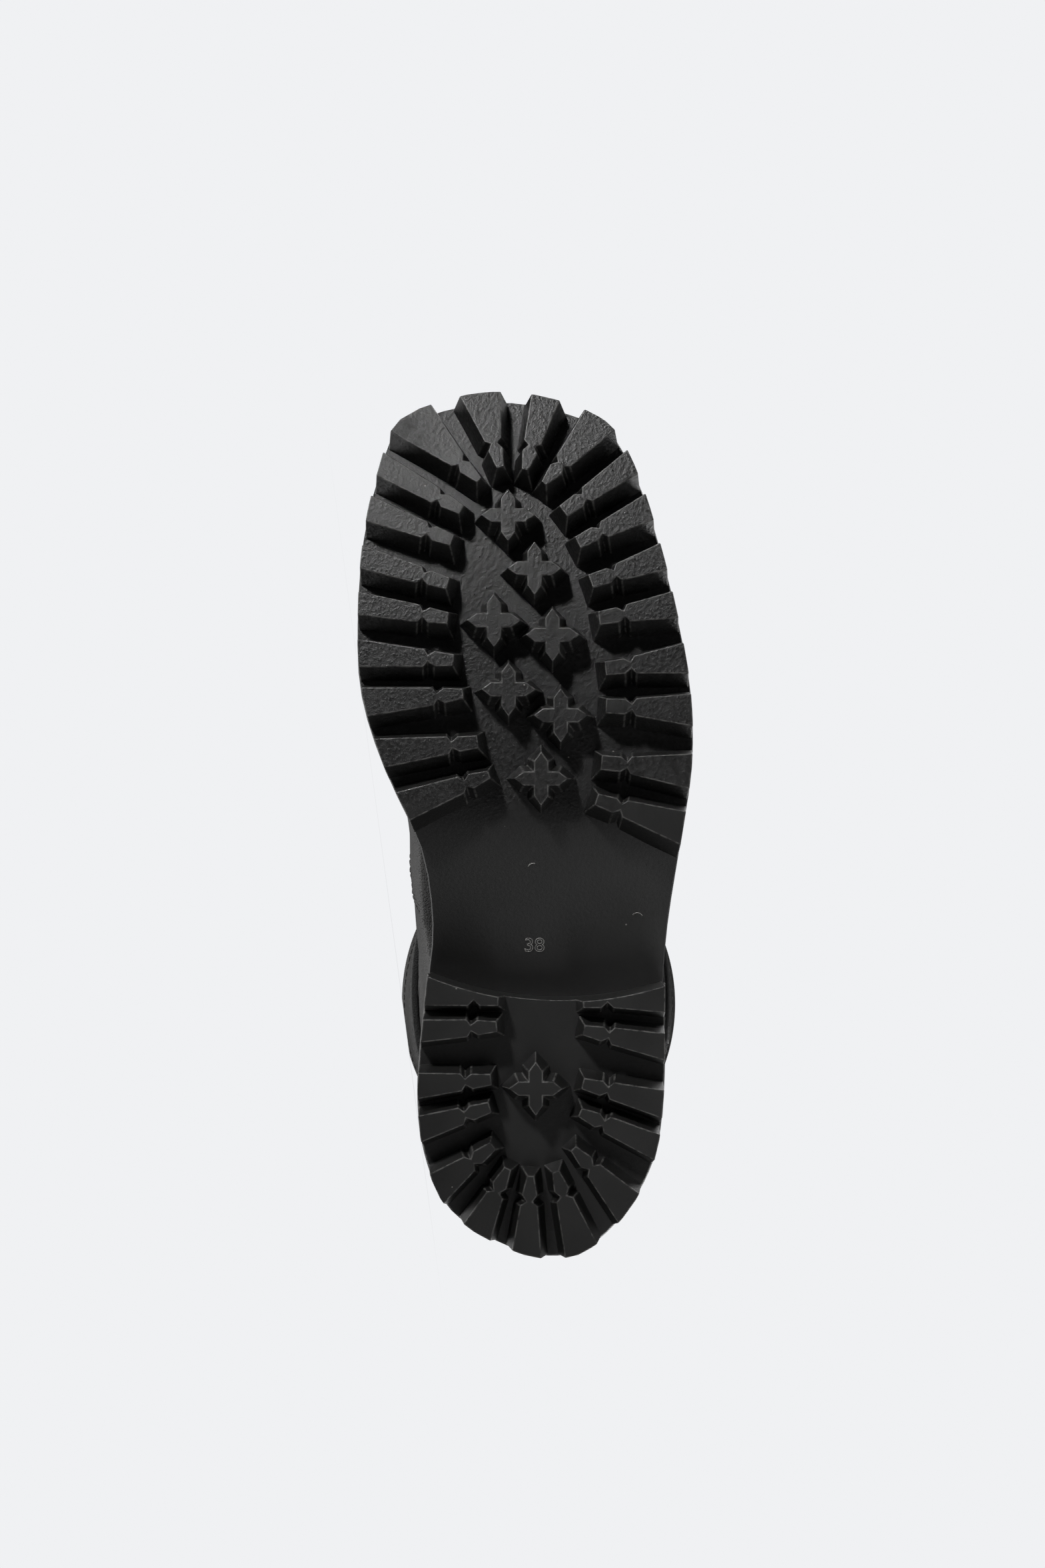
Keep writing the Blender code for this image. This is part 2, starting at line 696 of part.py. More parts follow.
def build_ankle_strap(path, material, collection):
    """The strap round the ankle and its free end, which runs over the buckle's hinge bar."""
    builder = bmesh.new()
    low, high = STRAP_GAP, STRAP_GAP + STRAP_THICKNESS
    add_ring(builder, [band_section(path, angle, STRAP_WIDTH, low, high) for angle in loop_angles()])
    outward(builder)
    metres(builder)
    strap = new_object("ankle_strap", builder, material, collection)

    # Free end: distance along the strap from the buckle's middle, height of its underside, width.
    on_strap = high - 0.6
    over_bar = BUCKLE_LIFT + BUCKLE_WIRE + 2.6
    rows = ((5.0, on_strap, 0.9), (0.0, on_strap + 0.5, 1.0), (-7.0, over_bar - 0.9, 1.0),
            (-10.5, over_bar, 1.0), (-15.5, over_bar, 1.0), (-19.2, over_bar - 1.4, 1.0),
            (-24.0, on_strap, 1.0), (-34.0, on_strap, 1.0), (-44.0, on_strap, 1.0),
            (-55.0, on_strap, 1.0), (-65.0, on_strap, 0.9), (-70.0, on_strap, 0.55),
            (-71.5, on_strap, 0.2))
    tail = bmesh.new()
    sections = []
    for far, under, share in rows:
        half = TAIL_WIDTH * share / 2
        edges = (-half, 0.0, half)
        across = [(up, under) for up in edges]
        across += [(up, under + TAIL_THICKNESS) for up in reversed(edges)]
        sections.append(square_section(path, far, across))
    add_loft(tail, sections)
    outward(tail)
    metres(tail)
    apply_boolean(strap, new_object("tail", tail, material, collection), "UNION")
    smooth(strap, 35.0)
    return strap


def buckle_frame_matrix(path):
    """Local frame of the buckle: x forward along the strap, y up, z out from the leg."""
    angle = BUCKLE_ANGLE
    centre = path.point(angle, 0.0, 0.0)
    out = upper_normal(path.plan, STRAP_LEVEL, angle)
    forward = path.point(path.angle_at(6.0), 0.0, 0.0) - path.point(path.angle_at(-6.0), 0.0, 0.0)
    forward = (forward - out * forward.dot(out)).normalized()
    up = out.cross(forward)
    return Matrix((
        (forward.x, up.x, out.x, centre.x),
        (forward.y, up.y, out.y, centre.y),
        (forward.z, up.z, out.z, centre.z),
        (0.0, 0.0, 0.0, 1.0),
    ))


def wire_object(name, points, cyclic, diameter, resolution, material, collection):
    """A round wire along the points, made a closed mesh."""
    curve = bpy.data.curves.new(name, "CURVE")
    curve.dimensions = "3D"
    curve.bevel_depth = diameter / 2 * MM
    curve.bevel_resolution = resolution
    curve.use_fill_caps = True
    spline = curve.splines.new("POLY")
    spline.points.add(len(points) - 1)
    for slot, point in zip(spline.points, points):
        slot.co = (*(Vector(point) * MM), 1.0)
    spline.use_cyclic_u = cyclic
    holder = bpy.data.objects.new(name + "_path", curve)
    collection.objects.link(holder)
    graph = bpy.context.evaluated_depsgraph_get()
    mesh = bpy.data.meshes.new_from_object(holder.evaluated_get(graph))
    bpy.data.objects.remove(holder)
    builder = bmesh.new()
    builder.from_mesh(mesh)
    bpy.data.meshes.remove(mesh)
    bmesh.ops.remove_doubles(builder, verts=builder.verts, dist=0.00001)
    outward(builder)
    obj = new_object(name, builder, material, collection)
    smooth(obj, 50.0)
    return obj


def build_buckle(path, material, collection):
    """A plain wire frame and its prong."""
    frame = buckle_frame_matrix(path)
    middle = BUCKLE_LIFT + BUCKLE_WIRE / 2
    half_long, half_tall, corner = BUCKLE_LONG / 2, BUCKLE_TALL / 2, BUCKLE_CORNER
    points = []
    for quarter, (sx, sy) in enumerate(((1, 1), (-1, 1), (-1, -1), (1, -1))):
        for step in range(4):
            turn = math.radians(90.0 * quarter + 30.0 * step)
            x = sx * (half_long - corner) + corner * math.cos(turn)
            y = sy * (half_tall - corner) + corner * math.sin(turn)
            points.append(frame @ Vector((x, y, middle)))
    wire_object("buckle_frame", points, True, BUCKLE_WIRE, 2, material, collection)

    rest = BUCKLE_LIFT + BUCKLE_WIRE + PRONG_GAP + PRONG_WIDTH / 2
    tail_top = rest + 3.4
    prong = [frame @ Vector(point) for point in (
        (-7.0, 0.0, tail_top), (-2.0, 0.0, tail_top - 0.6), (6.0, 0.0, rest + 0.8),
        (half_long, 0.0, rest), (half_long + 2.6, 0.0, rest - 0.5))]
    wire_object("buckle_prong", prong, False, PRONG_WIDTH, 2, material, collection)


def build_keeper(path, material, collection):
    """A leather bridge over the strap and its free end."""
    side = STRAP_WIDTH / 2 + 0.8
    over = STRAP_GAP + STRAP_THICKNESS + TAIL_THICKNESS
    thick = KEEPER_THICKNESS
    inner = ((-side, 0.6), (-side, over - 1.2), (-TAIL_WIDTH / 2 - 0.3, over), (0.0, over),
             (TAIL_WIDTH / 2 + 0.3, over), (side, over - 1.2), (side, 0.6))
    outer = ((-side - thick, 0.6), (-side - thick, over - 0.6), (-TAIL_WIDTH / 2 - 0.8, over + thick),
             (0.0, over + thick), (TAIL_WIDTH / 2 + 0.8, over + thick),
             (side + thick, over - 0.6), (side + thick, 0.6))
    ends = (KEEPER_AT - KEEPER_LONG / 2, KEEPER_AT, KEEPER_AT + KEEPER_LONG / 2)
    builder = bmesh.new()
    loops = []
    for under, above in zip(inner, outer):
        low = [square_section(path, far, [under])[0] for far in ends]
        high = [square_section(path, far, [above])[0] for far in reversed(ends)]
        loops.append(low + high)
    add_loft(builder, loops)
    bmesh.ops.triangulate(builder, faces=builder.faces)
    outward(builder)
    metres(builder)
    keeper = new_object("strap_keeper", builder, material, collection)
    smooth(keeper, 30.0)
    return keeper


# ---------------------------------------------------------------- assembly


def new_material(name, colour, roughness, metallic=0.0):
    material = bpy.data.materials.new(name)
    material.use_nodes = True
    shader = material.node_tree.nodes["Principled BSDF"]
    shader.inputs["Base Color"].default_value = (*colour, 1.0)
    shader.inputs["Roughness"].default_value = roughness
    shader.inputs["Metallic"].default_value = metallic
    return material


def lying_matrix():
    """Medial side down, toe towards -X and the sole facing -Y, then settled on the floor."""
    side = Matrix(((-1, 0, 0), (0, 0, 1), (0, 1, 0))).to_4x4()
    pitch = Matrix.Rotation(LIE_PITCH, 4, "Y")
    roll = Matrix.Rotation(LIE_ROLL, 4, "X")
    return Matrix.Translation(LIE_SHIFT) @ roll @ pitch @ side


def main():
    for obj in list(bpy.data.objects):
        bpy.data.objects.remove(obj)
    collection = bpy.data.collections.new("biker_boot")
    bpy.context.scene.collection.children.link(collection)

    rubber = new_material("rubber_outsole", (0.018, 0.018, 0.019), 0.62)
    heel_rubber = new_material("rubber_heel", (0.018, 0.018, 0.019), 0.62)
    midsole_rubber = new_material("rubber_midsole", (0.022, 0.022, 0.023), 0.5)
    leather = new_material("leather_upper", (0.02, 0.019, 0.019), 0.38)
    strap_leather = new_material("leather_strap", (0.022, 0.021, 0.021), 0.42)
    keeper_leather = new_material("leather_keeper", (0.022, 0.021, 0.021), 0.42)
    insole_cloth = new_material("fabric_insole", (0.05, 0.048, 0.045), 0.85)
    metal = new_material("metal_buckle", (0.55, 0.55, 0.56), 0.28, 1.0)

    plan = PlanShape()
    build_outsole(rubber, collection)
    build_heel(heel_rubber, collection)
    build_midsole(midsole_rubber, collection)
    build_upper(plan, leather, collection)
    build_insole(plan, insole_cloth, collection)
    path = StrapPath(plan)
    build_ankle_strap(path, strap_leather, collection)
    build_buckle(path, metal, collection)
    build_keeper(path, keeper_leather, collection)

    holder = bpy.data.objects.new("boot_lying", None)
    collection.objects.link(holder)
    holder.matrix_world = lying_matrix()
    for obj in collection.objects:
        if obj is not holder:
            obj.parent = holder


main()
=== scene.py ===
import math

import bmesh
import bpy
import numpy as np
from mathutils import Matrix, Vector, geometry


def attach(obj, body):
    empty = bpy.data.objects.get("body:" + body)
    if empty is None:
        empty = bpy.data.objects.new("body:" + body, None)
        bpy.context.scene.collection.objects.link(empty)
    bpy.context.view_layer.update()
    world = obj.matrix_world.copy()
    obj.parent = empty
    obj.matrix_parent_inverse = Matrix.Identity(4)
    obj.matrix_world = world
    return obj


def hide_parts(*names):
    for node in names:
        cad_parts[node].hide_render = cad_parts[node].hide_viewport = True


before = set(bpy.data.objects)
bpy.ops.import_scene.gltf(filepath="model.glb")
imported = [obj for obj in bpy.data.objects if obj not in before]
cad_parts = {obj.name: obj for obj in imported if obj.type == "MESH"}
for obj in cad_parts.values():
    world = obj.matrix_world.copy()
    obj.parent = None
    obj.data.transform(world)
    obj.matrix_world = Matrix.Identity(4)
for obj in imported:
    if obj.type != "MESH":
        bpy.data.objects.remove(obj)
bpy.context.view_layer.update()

# ---------------------------------------------------------------- the boot's own sizes
#
# The boot is drawn upright, in millimetres: u runs forward from the back of the heel, v out to
# the lateral side and w up from the ground under the heel. LYING then lays it on its medial side.

MM = 0.001
LIE_PITCH = math.radians(7.5588)
LIE_ROLL = math.radians(2.6239)
LIE_SHIFT = (0.14461, -0.14026, 0.03448)
UPRIGHT = Matrix(((-1, 0, 0), (0, 0, 1), (0, 1, 0))).to_4x4()
LYING = (Matrix.Translation(LIE_SHIFT) @ Matrix.Rotation(LIE_ROLL, 4, "X")
         @ Matrix.Rotation(LIE_PITCH, 4, "Y") @ UPRIGHT @ Matrix.Scale(MM, 4))

SOLE_LENGTH = 291.0
LUG_DEPTH = 10.0
PLATE_THICKNESS = 6.0
MIDSOLE_THICKNESS = 4.0
UPPER_WALL = 2.2
SEAT_GAP = 0.35
TOE_SPRING = 25.0
SPRING_START = 160.0
SPRING_POWER = 1.9
SOLE_LEAN = 0.85
HEEL_RISE = 19.0
ARCH_FRONT = 152.0
ARCH_BACK = 82.0
BREAST_CENTRE = (202.0, 6.3)
BREAST_RADIUS = 117.0
TOE_AXIS = -13.5

# Plan of the sole, a row for each station: distance forward, medial edge, lateral edge.
SOLE_PLAN = (
    ("heel_back", 0.4, -6.0, 13.0),
    ("heel_turn", 13.0, -29.0, 28.0),
    ("heel_side", 32.0, -38.8, 38.4),
    ("heel_wide", 56.0, -41.5, 41.7),
    ("breast", 88.0, -38.8, 42.0),
    ("waist", 110.0, -36.7, 43.3),
    ("shank_end", 136.0, -40.3, 46.9),
    ("joint", 163.0, -52.5, 50.9),
    ("ball", 188.0, -60.2, 50.7),
    ("ball_wide", 213.0, -61.7, 46.7),
    ("toe_side", 242.0, -60.0, 39.9),
    ("toe_turn", 266.0, -54.8, 32.2),
    ("toe_corner", 282.0, -47.9, 21.8),
    ("toe_front", 290.8, -25.0, -2.0),
)

# Bars of the tread: outer end u, v, inner tip u, v, width at the outer end, width at the tip.
FOREFOOT_LUGS = (
    ("toe_corner_m", 282.3, -43.7, 260.3, -20.7, 16.3, 2.2),
    ("medial_1", 266.7, -55.6, 250.0, -26.6, 8.2, 3.4),
    ("medial_2", 251.0, -59.0, 239.6, -29.7, 9.0, 4.0),
    ("medial_3", 234.1, -60.7, 224.9, -31.0, 8.0, 4.2),
    ("medial_4", 218.2, -61.1, 213.1, -30.9, 7.8, 3.9),
    ("medial_5", 201.4, -60.6, 199.0, -29.0, 9.3, 4.0),
    ("medial_6", 184.9, -59.1, 187.7, -25.8, 10.0, 3.4),
    ("medial_7", 167.8, -53.8, 171.7, -20.9, 10.1, 4.3),
    ("medial_8", 150.3, -45.3, 160.8, -17.0, 10.3, 2.7),
    ("toe_m", 290.1, -20.1, 264.7, -13.5, 13.7, 2.6),
    ("toe_l", 289.4, 1.8, 263.8, -5.3, 9.9, 2.0),
    ("toe_corner_l", 281.5, 20.2, 259.2, 1.2, 12.5, 2.0),
    ("lateral_1", 266.5, 31.1, 249.5, 7.7, 8.7, 4.6),
    ("lateral_2", 251.0, 36.8, 238.8, 12.5, 9.3, 4.4),
    ("lateral_3", 234.0, 41.4, 225.5, 16.8, 9.5, 5.0),
    ("lateral_4", 217.8, 45.3, 213.1, 19.5, 9.2, 4.6),
    ("lateral_5", 199.7, 48.6, 196.2, 21.6, 10.4, 4.7),
    ("lateral_6", 182.4, 50.5, 183.7, 21.8, 10.9, 5.0),
    ("lateral_7", 161.9, 50.2, 164.8, 20.2, 11.8, 5.0),
    ("lateral_8", 143.1, 47.3, 152.5, 18.6, 11.2, 4.1),
)
HEEL_LUGS = (
    ("heel_medial_1", 75.3, -39.9, 76.8, -14.5, 7.7, 3.6),
    ("heel_medial_2", 57.0, -41.1, 59.1, -16.4, 8.8, 3.8),
    ("heel_medial_3", 42.6, -40.5, 49.9, -16.8, 8.8, 3.8),
    ("heel_medial_4", 22.3, -35.4, 37.1, -15.7, 11.1, 3.2),
    ("heel_medial_5", 7.2, -21.7, 29.6, -10.9, 11.0, 2.5),
    ("heel_back", 1.5, -4.7, 27.1, -3.3, 9.8, 2.4),
    ("heel_lateral_5", 4.3, 12.9, 28.6, 5.0, 10.9, 2.5),
    ("heel_lateral_4", 16.4, 29.5, 36.2, 10.9, 11.9, 2.5),
    ("heel_lateral_3", 36.5, 39.0, 48.2, 13.1, 8.7, 3.2),
    ("heel_lateral_2", 50.9, 41.1, 57.8, 14.0, 9.5, 3.8),
    ("heel_lateral_1", 70.1, 41.3, 75.6, 14.3, 8.9, 3.4),
)
# Distance back from the tip and half width of each turn of a bar's notched end.
NOTCH_SHOULDER = (6.5, 2.6)
NOTCH_NECK = (8.7, 1.1)
NOTCH_START = (10.0, 3.0)
LUG_DRAFT = 2.7
FOREFOOT_DRAFT = 3.5
FOREFOOT_LEAN = 0.10
LUG_SINK = 2.5
LUG_INSET = 0.4

# The two bars along the breast: side, inner end v, edge u at the inner end and at the rim.
BREAST_LUGS = (
    ("breast_medial", -1, 14.0, 83.6, 83.9),
    ("breast_lateral", 1, 14.2, 82.9, 79.6),
)

# The notch in both of them: its middle v, half width and depth.
BREAST_NOTCH = 22.3
BREAST_NOTCH_HALF = 2.0
BREAST_NOTCH_DEEP = 1.9

# Cross studs down the middle: centre u, v.
FOREFOOT_STUDS = (
    (248.2, -10.9), (230.0, -2.0), (212.4, -15.6), (207.5, 4.0),
    (189.2, -10.7), (180.5, 6.7), (159.4, 0.2),
)
HEEL_STUDS = ((56.1, -1.6),)
STUD_REACH = 9.1
STUD_SHOULDER = 5.8
STUD_HALF_WIDTH = 2.4
STUD_SHOULDER_DRAFT = 0.6
STUD_TIP_DRAFT = 1.3

# Side profile of each layer: height share, how far its edge stands out.
PLATE_EDGE = ((0.0, -0.4), (0.12, 0.0), (0.54, 0.0), (0.6, -0.3), (0.66, -0.9), (1.0, -0.9))
MIDSOLE_EDGE = ((0.0, -1.2), (0.45, -1.2), (0.55, -0.7), (0.62, -0.5), (0.92, -0.5), (1.0, -0.8))
HEEL_EDGE = ((0.0, -0.4), (0.05, 0.0), (0.38, 0.0), (0.42, -0.6), (0.46, -0.7), (1.0, -0.7))

# Sections of the upper, from the feather edge to the collar. Each is a tilted closed loop:
# back u, w, front u, w, medial and lateral half width, foot (share of the sole's own plan in
# its shape), arch (share of its width that it keeps on the medial side over the waist) and
# cling (share of the sole's rise and fall that its edge follows).
UPPER_SECTIONS = (
    ("feather", 8.5, 39.6, 279.2, 42.6, 54.0, 44.0, 1.00, 0.00, 1.00),
    ("bulge", 6.0, 47.0, 282.2, 51.0, 56.5, 46.5, 1.00, 0.66, 1.00),
    ("wall", 4.6, 55.0, 282.6, 62.0, 56.5, 46.5, 0.90, 0.71, 0.90),
    ("toe_shoulder", 4.0, 62.0, 279.2, 72.5, 54.0, 45.0, 0.75, 0.75, 0.80),
    ("toe_crown", 4.0, 69.0, 269.2, 80.5, 50.0, 42.0, 0.60, 0.80, 0.70),
    ("cap_end", 4.6, 76.0, 251.0, 85.0, 45.5, 39.5, 0.40, 0.93, 0.60),
    ("vamp", 5.6, 84.0, 226.0, 87.0, 44.0, 39.0, 0.25, 0.97, 0.45),
    ("vamp_back", 7.2, 92.0, 200.0, 90.5, 43.3, 39.5, 0.10, 1.00, 0.30),
    ("instep", 9.0, 101.0, 177.0, 98.0, 43.2, 41.0, 0.00, 1.00, 0.15),
    ("instep_high", 10.5, 111.0, 158.0, 112.0, 43.4, 42.5, 0.00, 1.00, 0.00),
    ("ankle", 11.4, 123.0, 145.0, 131.0, 44.0, 44.0, 0.00, 1.00, 0.00),
    ("ankle_top", 11.4, 138.0, 137.0, 152.0, 45.0, 45.5, 0.00, 1.00, 0.00),
    ("shaft_low", 10.0, 162.0, 132.0, 177.0, 47.0, 48.0, 0.00, 1.00, 0.00),
    ("shaft_mid", 7.0, 198.0, 130.0, 211.0, 50.2, 51.0, 0.00, 1.00, 0.00),
    ("shaft_high", 4.0, 238.0, 130.0, 248.0, 53.0, 53.6, 0.00, 1.00, 0.00),
    ("collar", 2.0, 276.0, 131.0, 284.0, 54.6, 55.4, 0.00, 1.00, 0.00),
)
TOP_LEVEL = len(UPPER_SECTIONS) - 1
ARCH_BLEND = 5.0
COLLAR_BAND = 22.0
COLLAR_BAND_STEP = 1.2

# The strap lies at this level of the sections.
STRAP_LEVEL = 10.35
STRAP_WIDTH = 26.0
STRAP_THICKNESS = 2.8
STRAP_GAP = 0.8
BUCKLE_ANGLE = math.radians(217.0)
BUCKLE_WIRE = 3.4
BUCKLE_LIFT = 3.7
TAIL_WIDTH = 23.0
TAIL_THICKNESS = 2.5

# Strap, buckle, keeper and free end lean forward by this share of their height up the leg.
WALL_LEAN = 0.25

# ---------------------------------------------------------------- curves and heights


def soft_step(x):
    """Runs softly from 0 to 1 as x does."""
    x = np.clip(x, 0.0, 1.0)
    return x * x * (3.0 - 2.0 * x)


def spring_share(u):
    """Share of the way from the start of the toe spring to the toe."""
    return max(0.0, (u - SPRING_START) / (SOLE_LENGTH - SPRING_START))


def tread_height(u):
    """Height of the walking surface: flat, then turning up to the toe."""
    return TOE_SPRING * spring_share(u) ** SPRING_POWER


def tread_slope(u):
    rise = TOE_SPRING * SPRING_POWER * spring_share(u) ** (SPRING_POWER - 1.0)
    return rise / (SOLE_LENGTH - SPRING_START)


def leaned(u, rise):
    """Where a wall that starts at u on the walking surface has got to when it is this high."""
    return u - SOLE_LEAN * tread_slope(u) * rise


def floor_height(u):
    """Underside of the sole between the lugs, lifted under the arch and over the heel."""
    arch = soft_step((ARCH_FRONT - u) / (ARCH_FRONT - ARCH_BACK))
    return LUG_DEPTH + tread_height(u) + HEEL_RISE * arch


def midsole_base(u):
    return floor_height(u) + PLATE_THICKNESS + SEAT_GAP


def feather_height(u):
    return midsole_base(u) + MIDSOLE_THICKNESS + SEAT_GAP


def breast_u(v):
    """The front edge of the heel, a hollow arc."""
    return BREAST_CENTRE[0] - math.sqrt(BREAST_RADIUS ** 2 - (v - BREAST_CENTRE[1]) ** 2)


def catmull_rom(before, start, end, after, share):
    """One value of a smooth curve from start to end."""
    slope_in = (end - before) / 2.0
    slope_out = (after - start) / 2.0
    cube, square = share ** 3, share ** 2
    return ((2 * cube - 3 * square + 1) * start + (cube - 2 * square + share) * slope_in
            + (3 * square - 2 * cube) * end + (cube - square) * slope_out)


def sole_plan(inset=0.0, steps=3):
    """The sole's outline as a list of plan points, medial side first, heel to toe and back."""
    corners = [(u, medial) for _, u, medial, _ in SOLE_PLAN]
    corners += [(u, lateral) for _, u, _, lateral in reversed(SOLE_PLAN)]
    curve = []
    for index in range(len(corners)):
        four = [corners[(index + shift) % len(corners)] for shift in (-1, 0, 1, 2)]
        for step in range(steps):
            curve.append(Vector([catmull_rom(*axis, step / steps) for axis in zip(*four)]))
    moved = []
    for index, point in enumerate(curve):
        along = (curve[(index + 1) % len(curve)] - curve[index - 1]).normalized()
        moved.append(point + Vector((-along.y, along.x)) * inset)
    return moved


# ---------------------------------------------------------------- camera, light and floor

PALE = (0.871, 0.879, 0.896)

# The camera looks square at this u, v of the sole from this far below it, raised a little so
# that it clears the floor.
CAMERA_AT = (157.6, -6.0)
CAMERA_FAR = 1100.0
CAMERA_RAISE = 1.8
LENS = 75.84

# Lights in the boot's own sizes: place, aim, size, watts and a lamp's cone in degrees.
LIGHTS = (
    ("toe_lamp", (835.0, -300.0, -485.0), (226.0, -13.0, 2.0), 0.32, 222.0, 9.2),
    ("heel_softbox", (-620.0, -20.0, -720.0), (110.0, 0.0, 0.0), 0.9, 2.2, None),
    ("top_softbox", (150.0, 1080.0, -130.0), (120.0, 0.0, 130.0), 0.8, 4.2, None),
    ("front_softbox", (900.0, 520.0, 760.0), (130.0, 0.0, 120.0), 0.8, 6.0, None),
    ("back_softbox", (-640.0, 520.0, 760.0), (60.0, 0.0, 150.0), 0.8, 6.0, None),
    ("medial_softbox", (60.0, -720.0, 300.0), (90.0, -40.0, 80.0), 0.5, 6.5, None),
)
WORLD_FELT = 0.012
FLOOR_FELT = 0.02
FLOOR_RADIUS = 12.0
FLOOR_SHADE_REACH = 0.05
FLOOR_SHADE = (0.80, 0.93)


def add_object(name, data):
    """A new object in the scene, at the origin."""
    item = bpy.data.objects.new(name, data)
    bpy.context.scene.collection.objects.link(item)
    return item


def lying_point(u, v, w):
    return LYING @ Vector((u, v, w))


def build_camera():
    """Square to the sole, with the toe at the top."""
    camera = bpy.data.cameras.new("camera")
    camera.lens = LENS
    camera.sensor_fit = "VERTICAL"
    camera.sensor_height = 36.0
    camera.clip_start = 0.02
    camera.clip_end = 50.0
    holder = add_object("camera", camera)
    place = lying_point(CAMERA_AT[0], CAMERA_AT[1] + CAMERA_RAISE, -CAMERA_FAR)
    backwards = (place - lying_point(*CAMERA_AT, 0.0)).normalized()
    upwards = (lying_point(1, 0, 0) - lying_point(0, 0, 0)).normalized()
    rightwards = upwards.cross(backwards).normalized()
    upwards = backwards.cross(rightwards)
    turn = Matrix((rightwards, upwards, backwards)).transposed().to_4x4()
    holder.matrix_world = Matrix.Translation(place) @ turn
    bpy.context.scene.camera = holder


def add_light(name, place, aim, size, watts, cone):
    """A softbox, or a hooded lamp if it has a cone, placed and aimed in the boot's own sizes."""
    light = bpy.data.lights.new(name, "SPOT" if cone else "AREA")
    light.energy = watts
    if cone:
        light.shadow_soft_size = size / 2
        light.spot_size = math.radians(cone)
        light.spot_blend = 1.0
    else:
        light.size = size
    holder = add_object(name, light)
    away = (lying_point(*place) - lying_point(*aim)).normalized()
    turn = away.to_track_quat("Z", "Y").to_matrix().to_4x4()
    holder.matrix_world = Matrix.Translation(lying_point(*place)) @ turn


def seen_and_felt(tree, shader, seen, felt, output):
    """Pale light that the camera sees at one strength and the boot feels at another."""
    sight = tree.nodes.new("ShaderNodeLightPath")
    mix = tree.nodes.new("ShaderNodeMixShader")
    tree.links.new(sight.outputs["Is Camera Ray"], mix.inputs[0])
    for socket, strength in ((mix.inputs[1], felt), (mix.inputs[2], seen)):
        glow = tree.nodes.new(shader)
        glow.inputs["Color"].default_value = (*PALE, 1.0)
        feed(tree, glow.inputs["Strength"], strength)
        tree.links.new(glow.outputs[0], socket)
    tree.links.new(mix.outputs[0], tree.nodes.new(output).inputs["Surface"])


def build_light():
    """A hooded lamp beyond the toe, and softboxes past the heel and round the upper."""
    for light in LIGHTS:
        add_light(*light)
    world = bpy.data.worlds.new("studio")
    bpy.context.scene.world = world
    world.use_nodes = True
    world.node_tree.nodes.clear()
    seen_and_felt(world.node_tree, "ShaderNodeBackground", 1.0, WORLD_FELT, "ShaderNodeOutputWorld")
    view = bpy.context.scene.view_settings
    view.view_transform = "Standard"
    view.look = "None"


def build_floor():
    """A pale disc with a painted contact shadow only close under the boot."""
    mesh = bpy.data.meshes.new("floor")
    disc = bmesh.new()
    bmesh.ops.create_circle(disc, cap_ends=True, segments=96, radius=FLOOR_RADIUS)
    disc.to_mesh(mesh)
    disc.free()
    floor = add_object("floor", mesh)
    material = bpy.data.materials.new("pale_floor")
    material.use_nodes = True
    tree = material.node_tree
    tree.nodes.clear()
    # Painted contact shadow: the floor's glow is dimmed by ambient occlusion.
    shade = tree.nodes.new("ShaderNodeAmbientOcclusion")
    shade.inputs["Distance"].default_value = FLOOR_SHADE_REACH
    shade.samples = 8
    depth = tree.nodes.new("ShaderNodeMapRange")
    depth.inputs["To Min"].default_value, depth.inputs["From Max"].default_value = FLOOR_SHADE
    tree.links.new(shade.outputs["AO"], depth.inputs["Value"])
    seen_and_felt(tree, "ShaderNodeEmission", depth.outputs[0], FLOOR_FELT, "ShaderNodeOutputMaterial")
    mesh.materials.append(material)
    floor.visible_shadow = False


# ---------------------------------------------------------------- making pieces


def new_builder():
    """An empty mesh whose points know their place in an outline, and whose faces know their rounded edges,
    which get wear and a painted highlight.
    """
    builder = bmesh.new()
    builder.verts.layers.int.new("place")
    builder.faces.layers.float.new("worn_and_lit_edge")
    builder.faces.layers.float.new("tread")
    return builder


def finished(builder, name, material, slot, *nodes):
    """The piece laid down, nowhere below the floor, riding on its body for the CAD's nodes."""
    forward = builder.verts.layers.float.new("forward")
    for vert in builder.verts:
        vert[forward] = vert.co.x
    bmesh.ops.transform(builder, matrix=LYING, verts=builder.verts)
    for vert in builder.verts:
        vert.co.z = max(vert.co.z, 0.0)
    mesh = bpy.data.meshes.new(name)
    builder.to_mesh(mesh)
    builder.free()
    mesh.shade_smooth()
    mesh.materials.append(material)
    piece = add_object(name, mesh)
    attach(piece, "root")
    if nodes:
        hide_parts(*nodes)
    return piece


def weigh_normals(piece, angle=28.0):
    """Flat faces stay flat beside their rounded corners."""
    piece.data.set_sharp_from_angle(angle=math.radians(angle))
    weighted = piece.modifiers.new("flat_faces", "WEIGHTED_NORMAL")
    weighted.keep_sharp = True
    weighted.weight = 90


def stacked(builder, rows):
    """A closed block: a face on the first outline, drawn out through the others to a lid."""
    place = builder.verts.layers.int["place"]
    block = [builder.verts.new(point) for point in rows[0]]
    for index, vert in enumerate(block):
        vert[place] = index
    first = builder.faces.new(block)
    lid = first
    for row in rows[1:]:
        made = bmesh.ops.extrude_face_region(builder, geom=[lid])["geom"]
        if lid is not first:
            bmesh.ops.delete(builder, geom=[lid], context="FACES_ONLY")
        raised = [item for item in made if isinstance(item, bmesh.types.BMVert)]
        for vert in raised:
            vert.co = row[vert[place]]
        block += raised
        lid = next(item for item in made if isinstance(item, bmesh.types.BMFace))
    bmesh.ops.recalc_face_normals(builder, faces=faces_of(builder, block))
    return block, first


def faces_of(builder, verts):
    builder.faces.index_update()
    return sorted({face for vert in verts for face in vert.link_faces}, key=lambda face: face.index)


def edges_of(builder, verts):
    builder.edges.index_update()
    return sorted({edge for vert in verts for edge in vert.link_edges}, key=lambda edge: edge.index)


